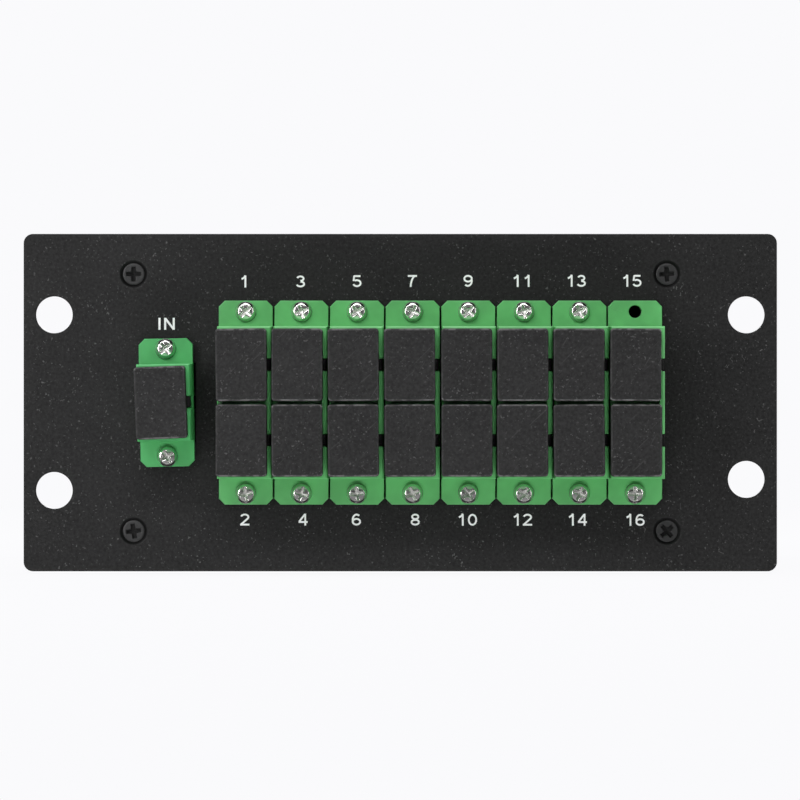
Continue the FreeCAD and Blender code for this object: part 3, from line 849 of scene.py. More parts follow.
@dataclass
class Layout:
    """Places read from the fixed model, in millimetres.

    Attributes:
        front: Depth of the plate's front face.
        rim: Depth of the adapters' front rims.
        middle: Height of the plate's middle.
        columns: Middles of the duplex adapters along X.
        input_x: Middle of the input adapter along X.
        flange: Thickness of the adapters' flanges.
        ear_spacing: Distance between the two ear screws of a duplex adapter.
        input_ear_spacing: The same for the input adapter.
        port_rise: How far the ports lie above or below the plate's middle.
        input_lean: How far the input adapter leans, in degrees.
        plate_screw_reach: How far the plate screws lie to the left or right of the middle.
        plate_screw_rise: How far they lie above or below it.
    """

    front: float
    rim: float
    middle: float
    columns: list[float]
    input_x: float
    flange: float = 2.0
    ear_spacing: float = 31.2
    input_ear_spacing: float = 18.5
    port_rise: float = 6.4
    input_lean: float = 1.0
    plate_screw_reach: float = 45.85
    plate_screw_rise: float = 22.1

    @classmethod
    def measured(cls) -> "Layout":
        """Reads the fixed nodes' boxes."""
        plate = node_box("front_plate")
        single = node_box("adapter_input")
        names = [f"adapter_ports_{odd}_{odd + 1}" for odd in range(1, 17, 2)]
        return cls(
            front=float(plate[0, 1]),
            rim=float(single[0, 1]),
            middle=float(plate[:, 2].mean()),
            columns=[float(node_box(name)[:, 0].mean()) for name in names],
            input_x=float(single[:, 0].mean()),
        )

    @property
    def flange_front(self) -> float:
        """Depth of the front of the adapter flanges."""
        return self.front - self.flange

    def port(self, number: int) -> tuple[float, float]:
        """Middle of a port in X and Z; odd ports above, even ports below."""
        rise = self.port_rise if number % 2 else -self.port_rise
        return self.columns[(number - 1) // 2], self.middle + rise


# Pieces


@dataclass
class Housing:
    """Front plate, tray and lid, in black powder coat.

    Attributes:
        edges: How their outer edges are rounded.
        sink_radius: Radius round a plate screw inside which the coat gets painted shade.
    """

    edges: Softening = Softening(0.14)
    sink_radius: float = 2.3

    def build(self, frame: dict, layout: Layout, finishes: Finishes) -> None:
        """Rounds the edges of the sheet parts and coats them."""
        for node in ("front_plate", "tray", "lid"):
            piece = self.edges.copied(frame, node, node + "_coated")
            self.mark_recesses(piece.data, layout)
            finishes.fit(piece, finishes.coat)

    def mark_recesses(self, mesh: Mesh, layout: Layout) -> None:
        """Gives the faces of the countersinks the attribute recess, which paints shade into them.

        A face counts when its middle is nearer to a screw's axis than the sink radius and it
        doesn't face straight ahead.
        """
        middles = face_numbers(mesh, "center") / MM
        reach = np.hypot(
            np.abs(middles[:, 0]) - layout.plate_screw_reach,
            np.abs(middles[:, 2] - layout.middle) - layout.plate_screw_rise,
        )
        slanting = np.abs(face_numbers(mesh, "normal")[:, 1]) < 0.9
        # Painted shade: these countersink faces get a coat darkened towards black.
        recess = ((reach < self.sink_radius) & slanting).astype(np.float32)
        mesh.attributes.new("recess", "FLOAT", "FACE").data.foreach_set("value", recess)


@dataclass
class Adapters:
    """The green adapter housings with rounded moulded edges.

    Attributes:
        edge: Width of the rounding on outer edges.
        ear_edge: Width of the rounding on the ends and the cut corners of the ears.
        ear_least: Length over which an edge belongs to an ear's end or cut corner.
    """

    edge: float = 0.065
    ear_edge: float = 0.16
    ear_least: float = 1.2

    def build(self, frame: dict, layout: Layout, finishes: Finishes) -> None:
        """Rounds and colours each housing."""

        def ends_ear(edge: BMEdge) -> bool:
            """Whether an edge lies in the ears' front face, at their ends or cut corners."""
            start, end = (np.array(corner.co) / MM for corner in edge.verts)
            flat = np.abs(np.array([start[1], end[1]]) - layout.flange_front).max() < 0.01
            run = end - start
            length = float(np.linalg.norm(run))
            return bool(flat and length > self.ear_least and abs(run[2]) < 0.9 * length)

        edges = Softening(self.edge, ends_ear, self.ear_edge)
        for node in [name for name in frame["nodes"] if name.startswith("adapter_")]:
            piece = edges.copied(frame, node, node + "_moulded")
            single = node == "adapter_input"
            finishes.fit(piece, finishes.input_green if single else finishes.green)


@dataclass
class DustCaps:
    """The black dust caps: a block with soft edges, a hollow plug and a key rib.

    Attributes:
        shift: How far the head's middle lies to the right of the plug's.
        corner: Corner radius of the head.
        fillet: Radius of the head's front edge.
        back_fillet: Radius of its back edge.
        dish: The faint hollow in the face, as shares of the head's size with their depths.
        face_fade: Width over which the wear of the front edge fades on the face.
        side_fade: The same on the sides.
        plug_wall: Thickness of the plug's wall.
        key_rise: How far the key rib and its seat reach outwards.
        key_seat: How far the key rib runs into the plug.
        input_extra_lean: How much more the input cap leans than its adapter, in degrees.
        input_play: How far the input cap lies to the right in its socket.
        leans: How far each cap leans, in port order, as in the fixed model.
        plays: How far each cap lies to the left in its socket, in port order.
    """

    width: float = 8.65
    height: float = 12.25
    depth: float = 3.7
    shift: float = -0.45
    corner: float = 0.55
    fillet: float = 0.22
    back_fillet: float = 0.1
    dish: tuple[tuple[float, float], ...] = ((0.3, 0.02), (0.7, 0.012))
    face_fade: float = 0.12
    side_fade: float = 0.15
    plug_width: float = 7.1
    plug_height: float = 8.7
    plug_length: float = 4.8
    plug_wall: float = 0.75
    key_height: float = 1.8
    key_rise: float = 0.9
    key_seat: float = 0.02
    input_extra_lean: float = 1.2
    input_play: float = 0.03
    leans: tuple[float, ...] = (
        0.6, 0.1, 0.0, 0.3, 0.4, 0.5, 0.5, 0.4, 0.1, 0.0, 0.3, 0.2, 0.0, 0.6, -0.3, 0.0,
    )
    plays: tuple[float, ...] = (
        -0.04, -0.04, 0.05, 0.05, 0.08, 0.08, 0.08, 0.02, -0.01, -0.06, 0.04, 0.08, 0.08, 0.04,
        0.04, -0.08,
    )

    def skin(self) -> tuple[np.ndarray, list[np.ndarray], dict[str, np.ndarray]]:
        """Cap about its own port, rim plane at zero depth, head towards minus Y.

        The head's section shrinks over quarter circles at the front and the back edge; behind it
        the skin steps in to the plug, turns over its end and runs back up inside. The front
        edge gets broken pale lines, most of all above and below, which are partly wear and partly
        painted highlight from the lamps above and below; the key rib is painted dark as the
        painted shade of its slot.
        """
        face = -self.depth
        rings = [
            Ring(self.width * share, self.height * share, self.corner, face + depth, self.shift)
            for share, depth in self.dish
        ]
        rings.append(self.head_ring(self.fillet + self.face_fade, face))
        for step in np.linspace(0, math.pi / 2, 6):
            inset = self.fillet * (1 - math.sin(step))
            rings.append(self.head_ring(inset, face + self.fillet * (1 - math.cos(step)), 1.0))
        rings.append(self.head_ring(0.0, face + self.fillet + self.side_fade))
        for step in np.linspace(0, math.pi / 2, 3):
            inset = self.back_fillet * (1 - math.cos(step))
            rings.append(self.head_ring(inset, -self.back_fillet * (1 - math.sin(step))))
        wall = self.plug_wall
        end = self.plug_length
        plug = [
            (0.0, 0.5, 0.0),
            (0.0, 0.5, end - 0.2),
            (0.15, 0.4, end),
            (wall - 0.1, 0.3, end),
            (wall, 0.25, end - 0.15),
            (wall, 0.25, 0.0),
        ]
        rings += inset_rings(self.plug_width, self.plug_height, plug)
        head = loft(rings)
        rib = [(0.05, 0.1, 0.0), (0.0, 0.12, 0.05), (0.0, 0.12, end - 0.25), (0.1, 0.1, end)]
        key_rings = inset_rings(self.key_rise, self.key_height, rib)
        key = loft(key_rings, per_corner=4)
        reach = (self.plug_width + self.key_rise) / 2 - self.key_seat
        points, faces = joined([head, (moved(key[0], reach, 0, 0), key[1])])
        wear = np.concatenate([ring_wear(rings), ring_wear(key_rings, 4)])
        # Pale edge lines are strongest on the top and bottom edges that face the lamps: partly wear,
        # partly painted highlight.
        level = np.abs(points[:, 2]) > self.height / 2 - self.corner
        # The key rib gets the recess mark: painted shade of its slot.
        recess = (np.arange(len(points)) >= len(head[0])).astype(float)
        marks = {"edge_wear_and_highlight": np.where(level, wear, 0.2 * wear), "recess": recess}
        return points, faces, marks

    def head_ring(self, inset: float, depth: float, wear: float = 0.0) -> Ring:
        """Section of the head, smaller by an inset all round."""
        radius = max(self.corner - inset, 0.05)
        width = self.width - 2 * inset
        return Ring(width, self.height - 2 * inset, radius, depth, self.shift, wear)

    def build(self, layout: Layout, finishes: Finishes) -> None:
        """Makes the seventeen caps, each riding with its own body."""
        spots = []
        for port, (lean, play) in enumerate(zip(self.leans, self.plays), start=1):
            x, z = layout.port(port)
            spots.append((str(port), lean, x - play, z))
        lean = layout.input_lean + self.input_extra_lean
        spots.append(("input", lean, layout.input_x + self.input_play, layout.middle))
        block, faces, marks = self.skin()
        for tag, lean, x, z in spots:
            points = moved(leaned(block, lean), x, layout.rim, z)
            piece = build_mesh("cap_" + tag + "_block", points, faces, marks)
            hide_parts("dust_cap_" + tag)
            finishes.fit(piece, finishes.cap, "cap_" + tag)


@dataclass(frozen=True)
class CrossScrew:
    """A screw with a cross recess, its axis along Y and its head towards minus Y.

    The head's top is a height over a disc: a faint crown that falls away near the rim as a power
    of the way to it, less a cross-shaped pit whose arms taper and whose floor rises outwards. The
    disc's points come from a square grid that is squeezed into a circle, so the rim is one
    closed ring that the side and shank carry on.

    Attributes:
        side: Height of the upright side.
        edge: Height over which the top falls away near the rim.
        bend: Power of that fall; near one it is a cone.
        crown: How much higher the middle of the top is than the start of the fall.
        flat: Share of the radius inside the fall.
        cone: Depth of a countersunk head.
        proud: How far a countersunk head's edge stands ahead of its seat.
        lip: How far a countersunk head's straight rim reaches behind its seat, and the height
            of the cut edge below a pan head.
        arm: Length of the cross's arms from the middle.
        arm_width: Half the width of an arm at the middle.
        taper: Share by which an arm is narrower at its end.
        hub: Radius of the pit's round middle, as a share of an arm.
        wall: Width over which the pit's walls slope.
        pit: Depth of the pit in the middle.
        rise: Share by which the pit is shallower at an arm's end.
        flank: Share of a pan head's radius where painted shade starts, and over which it grows.
        grid: Points along each side of the grid.
    """

    form: HeadForm = HeadForm.PAN
    head_radius: float = 1.725
    side: float = 0.35
    edge: float = 0.65
    bend: float = 1.3
    crown: float = 0.2
    flat: float = 0.74
    cone: float = 0.75
    proud: float = 0.02
    lip: float = 0.06
    shank_radius: float = 0.95
    shank_length: float = 5.0
    arm: float = 1.15
    arm_width: float = 0.3
    taper: float = 0.3
    hub: float = 0.42
    wall: float = 0.11
    pit: float = 0.85
    rise: float = 0.62
    flank: tuple[float, float] = (0.9, 0.06)
    grid: int = 46

    def pit_wall(self, x: np.ndarray, z: np.ndarray, spin: float) -> np.ndarray:
        """How far each point is inside the cross, from nought outside to one past its wall."""
        angle = math.radians(spin)
        reach = np.hypot(x, z)
        a = np.abs(x * math.cos(angle) + z * math.sin(angle))
        b = np.abs(z * math.cos(angle) - x * math.sin(angle))
        width = self.arm_width * (1 - self.taper * reach / self.arm)
        inside = np.minimum(width - b, self.arm - a)
        inside = np.maximum(inside, np.minimum(width - a, self.arm - b))
        inside = np.maximum(inside, self.hub * self.arm - reach)
        wall = np.clip(inside / self.wall, 0, 1)
        return wall * wall * (3 - 2 * wall)

    def sections(self) -> list[tuple[float, float]]:
        """Radius and depth of the rings behind the head's top."""
        shank = [(self.shank_radius, self.shank_length)]
        if self.form is HeadForm.COUNTERSUNK:
            return [(self.head_radius, self.lip), (self.shank_radius, self.cone)] + shank
        return [
            (self.head_radius, -self.side / 2),
            (self.head_radius, -self.lip),
            (self.head_radius - self.lip, 0.0),
            (self.shank_radius, 0.0),
        ] + shank

    def skin(self, spin: float) -> MarkedSkin:
        """Points, faces and painted shade with the cross turned by degrees; the seat is at zero.

        The painted shade is one in the pit, on a pan head's flank and below the head.
        """
        n = self.grid
        line = np.linspace(-1, 1, n)
        u, v = np.meshgrid(line, line, indexing="xy")
        x = u * np.sqrt(1 - v * v / 2) * self.head_radius
        z = v * np.sqrt(1 - u * u / 2) * self.head_radius
        reach = np.hypot(x, z)
        share = np.clip(reach / self.head_radius, 0, 1)
        turned = np.clip((share - self.flat) / (1 - self.flat), 0, 1)
        down = self.edge * (1 - turned**self.bend)
        pan = self.form is HeadForm.PAN
        top = self.side + down + self.crown * (1 - share**2) if pan else self.proud + down
        wall = self.pit_wall(x, z, spin)
        pit = self.pit * np.clip(1 - self.rise * reach / self.arm, 0.2, 1) * wall
        disc = np.stack([x, -(top - pit), z], -1).reshape(-1, 3)
        index = np.arange(n * n).reshape(n, n)
        quads = np.stack([index[:-1, :-1], index[:-1, 1:], index[1:, 1:], index[1:, :-1]], -1)
        rim = np.concatenate([index[0, :-1], index[:-1, -1], index[-1, :0:-1], index[:0:-1, 0]])
        outline = disc[rim][:, [0, 2]] / self.head_radius
        rings = [
            np.stack([outline[:, 0] * radius, np.full(len(rim), depth), outline[:, 1] * radius], -1)
            for radius, depth in self.sections()
        ]
        count = len(disc)
        across = len(rim)
        points = np.vstack([disc, *rings, [[0.0, self.shank_length, 0.0]]])
        column = np.arange(across)
        after = (column + 1) % across
        faces = [
            quads.reshape(-1, 4),
            np.stack([rim, rim[after], count + after, count + column], -1),
            ring_faces(len(rings), across, count),
            fan_faces(count + (len(rings) - 1) * across, across, len(points) - 1),
        ]
        # Painted shade mask: one in the pit, on a pan head's flank and below the head.
        start, growth = self.flank
        flank = np.clip((share - start) / growth, 0, 1) if pan else 0 * share
        recess = np.ones(len(points))
        recess[:count] = np.maximum(wall, flank).ravel()
        return points, faces, recess


@dataclass
class Screws:
    """All the screws, each with its cross turned as real ones end up."""

    ear: CrossScrew = CrossScrew()
    plate: CrossScrew = CrossScrew(
        form=HeadForm.COUNTERSUNK,
        head_radius=1.9,
        shank_radius=1.15,
        shank_length=6.0,
        edge=0.12,
        bend=2.0,
        flat=0.88,
        arm=1.3,
        arm_width=0.42,
        taper=0.12,
        pit=1.1,
    )
    lid: CrossScrew = CrossScrew(
        head_radius=2.1, side=0.4, edge=0.7, shank_radius=1.1, shank_length=4.0, arm=1.3
    )
    missing: tuple[int, Side] = (7, Side.UPPER)
    plate_sink: float = 0.4
    lid_head_height: float = 1.3
    lid_spin: float = 20.0
    ear_spins: tuple[float, ...] = (
        45, 12, 20, 70, 38, 8, 62, 25, 50, 33, 15, 55, 28, 66, 0, 40, 30, 75,
    )
    plate_spins: tuple[float, ...] = (0.0, 4.0, 42.0, 8.0)

    def facing(
        self, screw: CrossScrew, depth: float, spots: list[tuple[float, float]],
        spins: tuple[float, ...],
    ) -> list[MarkedSkin]:
        """Points, faces and painted shade of screws that face ahead, at a depth and spots in X and Z."""
        parts = []
        for (x, z), spin in zip(spots, spins):
            points, faces, recess = screw.skin(spin)
            parts.append((moved(points, x, depth, z), faces, recess))
        return parts

    def ear_set(self, layout: Layout) -> list[MarkedSkin]:
        """The seventeen ear screws."""
        spots = []
        for number, x in enumerate(layout.columns):
            for side in Side:
                if (number, side) != self.missing:
                    spots.append((x, layout.middle + side.value * layout.ear_spacing / 2))
        lean = math.radians(layout.input_lean)
        for side in Side:
            arm = side.value * layout.input_ear_spacing / 2
            x = layout.input_x - arm * math.sin(lean)
            spots.append((x, layout.middle + arm * math.cos(lean)))
        return self.facing(self.ear, layout.flange_front, spots, self.ear_spins)

    def plate_set(self, layout: Layout) -> list[MarkedSkin]:
        """The four plate screws, clockwise from the upper left."""
        reach = layout.plate_screw_reach
        corners = ((-1, 1), (1, 1), (1, -1), (-1, -1))
        spots = [
            (side * reach, layout.middle + level * layout.plate_screw_rise)
            for side, level in corners
        ]
        return self.facing(self.plate, layout.front + self.plate_sink, spots, self.plate_spins)

    def lid_set(self) -> list[MarkedSkin]:
        """The two lid screws, whose heads point sideways."""
        box = node_box("lid_screws")
        _, depth, height = box.mean(axis=0)
        seat = box[1, 0] - self.lid_head_height
        parts = []
        for side in (-1, 1):
            points, faces, recess = self.lid.skin(self.lid_spin * side)
            turned = np.stack([-side * points[:, 1], points[:, 0], points[:, 2]], -1)
            parts.append((moved(turned, side * seat, depth, height), faces, recess))
        return parts

    def build(self, layout: Layout, finishes: Finishes) -> None:
        """Makes the ear, plate and lid screws."""
        for node, parts, finish in (
            ("ear_screws", self.ear_set(layout), finishes.nickel),
            ("plate_screws", self.plate_set(layout), finishes.oxide),
            ("lid_screws", self.lid_set(), finishes.oxide),
        ):
            points, faces = joined([(cloud, blocks) for cloud, blocks, _ in parts])
            # The attribute recess carries the screws' painted shade.
            marks = {"recess": np.concatenate([recess for _, _, recess in parts])}
            piece = build_mesh(node.replace("screws", "screw_set"), points, faces, marks)
            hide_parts(node)
            finishes.fit(piece, finish)


@dataclass
class Insides:
    """Latch inserts, ceramic sleeves, plugs behind them, splitter tube and fibre coil.

    Attributes:
        sleeve: Width and depth of each round section of a sleeve, from its foot over its rim.
    """

    sleeve: tuple[tuple[float, float], ...] = (
        (2.36, 1.0), (2.4, -0.1), (2.3, -0.18), (1.7, -0.18), (1.62, -0.1), (1.62, 4.0),
    )

    def build(self, frame: dict, layout: Layout, finishes: Finishes) -> None:
        """Dresses the inner nodes and adds the ceramic sleeves that show in an open socket."""
        for node, finish in (
            ("latch_inserts", finishes.inner_green),
            ("input_latch_insert", finishes.inner_green),
            ("output_connectors", finishes.plug_green),
            ("input_connector", finishes.plug_green),
            ("splitter_tube", finishes.steel),
            ("fibre_coil", finishes.jacket),
        ):
            finishes.dress(frame["nodes"][node], finish)
            LOG.info("%s dressed", node)
        tip = node_box("latch_inserts")[0, 1]
        rings = [Ring(width, width, width / 2, depth) for width, depth in self.sleeve]
        points, faces = loft(rings, per_corner=7)
        spots = [layout.port(port) for port in range(1, 17)] + [(layout.input_x, layout.middle)]
        parts = [(moved(points, x, tip, z), faces) for x, z in spots]
        piece = build_mesh("ceramic_sleeves", *joined(parts))
        finishes.fit(piece, finishes.ceramic)


@dataclass
class PortLabels:
    """White port numbers and the word for the input, drawn with one pen width.

    Each sign is a few pen strokes on a box one unit high; a stroke is a centre line of straight
    runs and parts of ellipses, widened to both sides and given square ends.

    Attributes:
        height: Height of a sign.
        pen: Width of a number's strokes, as a share of the height.
        word_pen: The same for the word.
        lift: How far the print stands off the plate.
        steps: How many strokes in a row get a height of their own.
        step: Difference between those heights, so strokes that cross don't share a face.
        sink: How far the print's back lies in the plate.
        gap: Space between signs, as a share of the height.
        wide: Width of most signs, as a share of the height.
        spots: Each word with its middle in X and Z from the plate's middle.
    """

    height: float = 2.04
    pen: float = 0.154
    word_pen: float = 0.18
    lift: float = 0.02
    steps: int = 4
    step: float = 0.002
    sink: float = 0.005
    gap: float = 0.3
    wide: float = 0.78
    spots: tuple[tuple[str, float, float], ...] = (
        ("1", -26.96, 20.81), ("3", -17.16, 20.83), ("5", -7.45, 20.88), ("7", 2.08, 20.91),
        ("9", 11.65, 20.93), ("11", 20.79, 20.91), ("13", 30.27, 20.93), ("15", 39.83, 20.93),
        ("2", -26.73, -20.1), ("4", -16.71, -20.11), ("6", -7.54, -20.11), ("8", 2.57, -20.11),
        ("10", 11.56, -20.14), ("12", 21.09, -20.13), ("14", 30.54, -20.13),
        ("16", 40.38, -20.17), ("IN", -40.17, 13.55),
    )

    def bow(self, cx: float, cz: float, rx: float, rz: float, start: float, end: float) -> np.ndarray:
        """Part of an ellipse between two angles in degrees."""
        turn = np.radians(np.linspace(start, end, 20))
        return np.stack([cx + rx * np.cos(turn), cz + rz * np.sin(turn)], -1)

    def line(self, *corners: tuple[float, float]) -> np.ndarray:
        """Straight runs through corners."""
        return np.array(corners, float)

    def signs(self, pen: float) -> dict[str, tuple[float, list[np.ndarray]]]:
        """Width and centre lines of every sign, for a pen width."""
        line = self.line
        bow = self.bow
        p = pen / 2
        w = self.wide
        m = w / 2
        two = bow(m, 0.71, m - p - 0.01, 0.29 - p, 168, -40)
        upright = line((p, 0), (p, 1))
        return {
            "I": (pen, [upright]),
            "N": (0.9, [
                upright,
                line((0.9 - p, 0), (0.9 - p, 1)),
                line((p + 0.01, 0.96), (0.89 - p, 0.04)),
            ]),
            "0": (w, [bow(m, 0.5, m - p, 0.5 - p, 0, 360)]),
            "1": (0.62, [
                line((0.57 - p, 0), (0.57 - p, 1)),
                bow(0.02, 1.10, 0.48, 0.40, -72, -12),
            ]),
            "2": (w, [np.vstack([two, [(0.10, p + 0.03)]]), line((0.0, p), (w, p))]),
            "3": (w, [
                bow(m - 0.01, 0.735, 0.34 - p, 0.265 - p, 165, -90),
                bow(m - 0.01, 0.28, m - p, 0.28 - p, 90, -165),
            ]),
            "4": (0.76, [
                line((0.56, 0), (0.56, 1)),
                line((0.53, 0.95), (0.05, 0.32)),
                line((0.0, 0.30), (0.76, 0.30)),
            ]),
            "5": (w, [
                line((0.68, 1 - p), (0.14, 1 - p)),
                line((0.155, 0.95), (0.10, 0.50)),
                bow(m - 0.01, 0.33, m - p, 0.33 - p, 125, -160),
            ]),
            "6": (w, [
                bow(m, 0.32, m - p, 0.32 - p, 0, 360),
                bow(m + 0.02, 0.5, m - p + 0.02, 0.5 - p, 50, 200),
            ]),
            "7": (w, [
                line((0.0, 1 - p), (w - 0.01, 1 - p)),
                bow(1.06, 0.0, 0.82, 1.18, 180, 128),
            ]),
            "8": (w, [
                bow(m, 0.735, 0.34 - p, 0.265 - p, 0, 360),
                bow(m, 0.28, m - p, 0.28 - p, 0, 360),
            ]),
            "9": (w, [
                bow(m, 0.68, m - p, 0.32 - p, 0, 360),
                bow(m - 0.02, 0.5, m - p + 0.02, 0.5 - p, 20, -130),
            ]),
        }

    def ribbon(self, centre: np.ndarray, lift: float, pen: float) -> Skin:
        """Flat bar along a centre line, half a pen to each side, raised off the plate.

        The side direction at each point is the normal of the mean of the runs beside it.
        """
        run = np.gradient(centre, axis=0)
        run /= np.linalg.norm(run, axis=1)[:, None]
        side = np.stack([-run[:, 1], run[:, 0]], -1) * pen / 2
        flat = np.stack([centre + side, centre - side], 1) * self.height
        count = len(centre)
        low = np.stack([flat[..., 0], np.full((count, 2), self.sink), flat[..., 1]], -1)
        high = np.stack([flat[..., 0], np.full((count, 2), -lift), flat[..., 1]], -1)
        section = np.stack([low[:, 0], low[:, 1], high[:, 1], high[:, 0]], 1)
        ends = np.array([[3, 2, 1, 0], [0, 1, 2, 3]])
        ends[1] += (count - 1) * 4
        return section.reshape(-1, 3), [ring_faces(count, 4), ends]

    def build(self, layout: Layout, finishes: Finishes) -> None:
        """Prints every sign on the plate."""
        parts = []
        for word, x, z in self.spots:
            start = 0.0
            lines = []
            pen = self.pen if word.isdigit() else self.word_pen
            signs = self.signs(pen)
            for letter in word:
                width, drawn = signs[letter]
                lines += [centre + np.array([start, -0.5]) for centre in drawn]
                start += width + self.gap
            ink = np.vstack(lines)[:, 0]
            middle = np.array([(ink.min() + ink.max()) / 2, 0.0])
            for number, centre in enumerate(lines):
                lift = self.lift + self.step * (number % self.steps)
                points, faces = self.ribbon(centre - middle, lift, pen)
                parts.append((moved(points, x, layout.front, layout.middle + z), faces))
        piece = build_mesh("port_labels", *joined(parts))
        piece.data.shade_flat()
        finishes.fit(piece, finishes.paint)


# Studio


@dataclass(frozen=True)
class Softbox:
    """Rectangular light that faces a point.

    Attributes:
        name: Name of the light.
        place: Where it stands, in metres.
        aim: The point that it faces, in metres.
        size: Width and height in metres.
        power: Power in watts.
        hidden: The kind of ray that doesn't see it.
    """

    name: str
    place: Place
    aim: Place
    size: tuple[float, float]
    power: float
    hidden: Ray | None = None

    def build(self) -> None:
        """Makes the light."""
        data = bpy.data.lights.new(self.name, "AREA")
        data.shape = "RECTANGLE"
        data.size, data.size_y = self.size
        data.energy = self.power
        lamp = linked(self.name, data)
        way = np.array(self.aim) - np.array(self.place)
        way /= np.linalg.norm(way)
        yaw = math.atan2(way[1], way[0]) - math.pi / 2
        pitch = math.asin(way[2])
        lamp.location = self.place
        lamp.rotation_euler = (math.pi / 2 + pitch, 0.0, yaw)
        if self.hidden is not None:
            setattr(lamp, self.hidden.value, False)


FRONT = (0.0, -0.045, 0.029)
LEFT = (-0.06, -0.045, 0.029)
RIGHT = (0.06, -0.045, 0.029)
TRAY = (0.0, 0.02, 0.029)
SHEEN = (0.12, 0.30)
SOFTBOXES = (
    Softbox("upper_softbox", (-0.16, -0.78, 0.56), FRONT, (0.95, 0.15), 6.8),
    Softbox("lower_softbox", (0.0, -0.72, -0.58), FRONT, (0.95, 0.12), 6.8),
    Softbox("left_fill", (-0.42, -0.34, 0.05), LEFT, SHEEN, 0.15, Ray.GLOSSY),
    Softbox("left_sheen", (-0.24, -0.34, 0.03), LEFT, SHEEN, 1.4, Ray.DIFFUSE),
    Softbox("right_sheen", (0.24, -0.34, 0.03), RIGHT, SHEEN, 0.32, Ray.DIFFUSE),
    Softbox("lid_softbox", (-0.05, 0.10, 0.75), TRAY, (0.5, 0.4), 4.5, Ray.CAMERA),
    Softbox("right_softbox", (0.75, 0.20, 0.30), TRAY, (0.4, 0.4), 4.0, Ray.CAMERA),
    Softbox("left_softbox", (-0.75, 0.20, 0.30), TRAY, (0.4, 0.4), 4.0, Ray.CAMERA),
    Softbox("rear_softbox", (0.10, 0.90, 0.35), TRAY, (0.5, 0.4), 6.0, Ray.CAMERA),
)


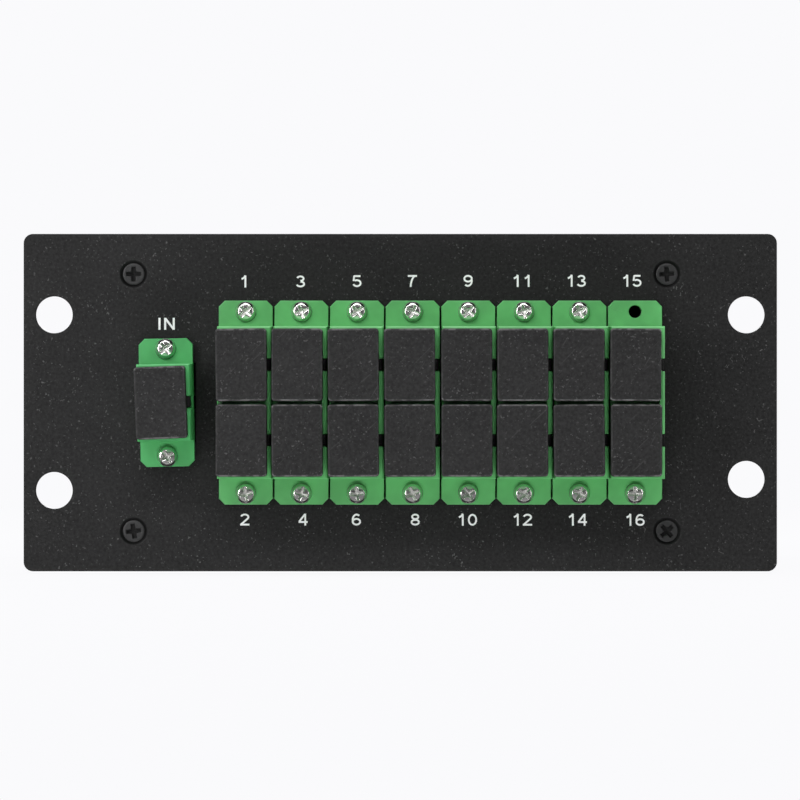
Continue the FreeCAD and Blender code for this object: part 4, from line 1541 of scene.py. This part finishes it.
@dataclass
class Studio:
    """Camera, soft lights, white surround and pale floor.

    Attributes:
        distance: Camera distance from the plate in millimetres.
        scale: Photograph pixels to a millimetre at the plate.
        frame_pixels: Width of the photograph in pixels.
        offset: How far the plate's middle lies right of and below the photograph's, in pixels.
        surround: Colour behind the object.
        ambient: Strength of the light from all round.
        tent: Strength of the bright band that polished metal mirrors.
        dim: Strength beyond the band's outer edge.
        band_edge: Cosines of the angles to the camera's direction where the band fades in.
        band_hole: The same where it fades out again, nearer to that direction.
        hole_share: Share of the band's strength that is left there.
        floor_reach: Half the floor's side in millimetres.
        floor_level: Height of the floor in millimetres.
        floor_grey: Base colour of the floor.
        floor_glow: Strength of the floor's own glow in the camera's view.
        floor_bounce: The same for the light that it gives the object.
        far_bounce: The same where the floor has faded into the surround.
        floor_fade: Distances in metres between which it fades.
    """

    distance: float = 980.0
    scale: float = 5.8175
    frame_pixels: float = 800.0
    offset: tuple[float, float] = (0.3, 2.6)
    surround: Colour = (0.956, 0.956, 0.973)
    ambient: float = 0.12
    tent: float = 0.45
    dim: float = 0.02
    band_edge: tuple[float, float] = (0.58, 0.68)
    band_hole: tuple[float, float] = (0.90, 0.975)
    hole_share: float = 0.12
    floor_reach: float = 9000.0
    floor_level: float = -0.05
    floor_grey: float = 0.025
    floor_glow: float = 0.965
    floor_bounce: float = 0.19
    far_bounce: float = 0.15
    floor_fade: tuple[float, float] = (0.20, 0.55)

    def camera(self, layout: Layout) -> None:
        """Places the camera square to the plate, with the shift of the photograph's framing."""
        data = bpy.data.cameras.new("front_camera")
        seen = self.frame_pixels / self.scale
        data.angle = 2 * math.atan(seen / 2 / self.distance)
        data.shift_x = -self.offset[0] / self.frame_pixels
        data.shift_y = self.offset[1] / self.frame_pixels
        data.clip_start = 0.01
        data.clip_end = 20.0
        camera = linked("front_camera", data)
        camera.location = (0.0, (layout.front - self.distance) * MM, layout.middle * MM)
        camera.rotation_euler = (math.pi / 2, 0.0, 0.0)
        bpy.context.scene.camera = camera

    def world(self) -> None:
        """White behind the object; a dim tent with a bright band for what lights and mirrors it.

        The band lies between about twenty and fifty degrees from the direction of the camera,
        so polished metal shows a dark middle, a bright ring and a dark rim.
        """
        world = bpy.data.worlds.new("studio")
        bpy.context.scene.world = world
        world.use_nodes = True
        shelf = Shelf(world.node_tree)
        seen = world.node_tree.nodes["Background"]
        shelf.fill(seen, {"Color": self.surround, "Strength": 1.0})
        even = shelf.node("ShaderNodeBackground", {"Color": grey(1.0), "Strength": self.ambient})
        direction = shelf.node("ShaderNodeTexCoord").outputs["Generated"]
        way = shelf.node("ShaderNodeSeparateXYZ", {0: direction})
        ahead = shelf.maths("MULTIPLY", way.outputs["Y"], -1.0)
        near = shelf.ranged(ahead, *self.band_edge, self.dim, self.tent)
        hole = shelf.ranged(ahead, *self.band_hole, 1.0, self.hole_share)
        band = shelf.maths("MULTIPLY", near, hole)
        tent = shelf.node("ShaderNodeBackground", {"Strength": band})
        rays = shelf.node("ShaderNodeLightPath").outputs
        lit = shelf.mixed(rays["Is Glossy Ray"], even.outputs[0], tent.outputs[0])
        final = shelf.mixed(rays["Is Camera Ray"], lit, seen.outputs[0])
        shelf.fill(world.node_tree.nodes["World Output"], {"Surface": final})

    def floor(self) -> None:
        """Pale floor under the module, which fades into the white surround with distance."""
        corners = np.array([(-1, -1), (1, -1), (1, 1), (-1, 1)]) * self.floor_reach
        points = np.column_stack([corners, np.full(4, self.floor_level)])
        floor = build_mesh("studio_floor", points, [np.array([[0, 1, 2, 3]])])
        material, shelf, shader = new_material("pale_floor")
        seen = shelf.node("ShaderNodeLightPath").outputs["Is Camera Ray"]
        near = {
            "Base Color": grey(self.floor_grey),
            "Roughness": 1.0,
            "Specular IOR Level": 0.0,
            "Emission Color": self.surround,
            "Emission Strength": shelf.ranged(seen, 0.0, 1.0, self.floor_bounce, self.floor_glow),
        }
        shelf.fill(shader, near)
        glow = shelf.ranged(seen, 0.0, 1.0, self.far_bounce, 1.0)
        far = shelf.node("ShaderNodeEmission", {"Color": self.surround, "Strength": glow})
        place = shelf.node("ShaderNodeTexCoord").outputs["Object"]
        reach = shelf.node("ShaderNodeVectorMath", {0: place}, operation="LENGTH")
        share = shelf.ranged(reach.outputs["Value"], *self.floor_fade)
        final = shelf.mixed(share, shader.outputs[0], far.outputs[0])
        shelf.fill(material.node_tree.nodes["Material Output"], {"Surface": final})
        floor.data.materials.append(material)
        floor.visible_shadow = False

    def build(self, layout: Layout) -> None:
        """Sets up the whole studio."""
        view = bpy.context.scene.view_settings
        view.view_transform = "Standard"
        view.look = "None"
        view.exposure = 0.0
        view.gamma = 1.0
        self.camera(layout)
        self.world()
        self.floor()
        for softbox in SOFTBOXES:
            softbox.build()
        LOG.info("studio set")


def main() -> None:
    """Dresses the fixed model and sets the studio."""
    logging.basicConfig(level=logging.INFO, format="%(name)s: %(message)s")
    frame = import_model()
    layout = Layout.measured()
    finishes = Finishes()
    Studio().build(layout)
    Housing().build(frame, layout, finishes)
    Adapters().build(frame, layout, finishes)
    DustCaps().build(layout, finishes)
    Screws().build(layout, finishes)
    Insides().build(frame, layout, finishes)
    PortLabels().build(layout, finishes)


if __name__ == "__main__":
    main()
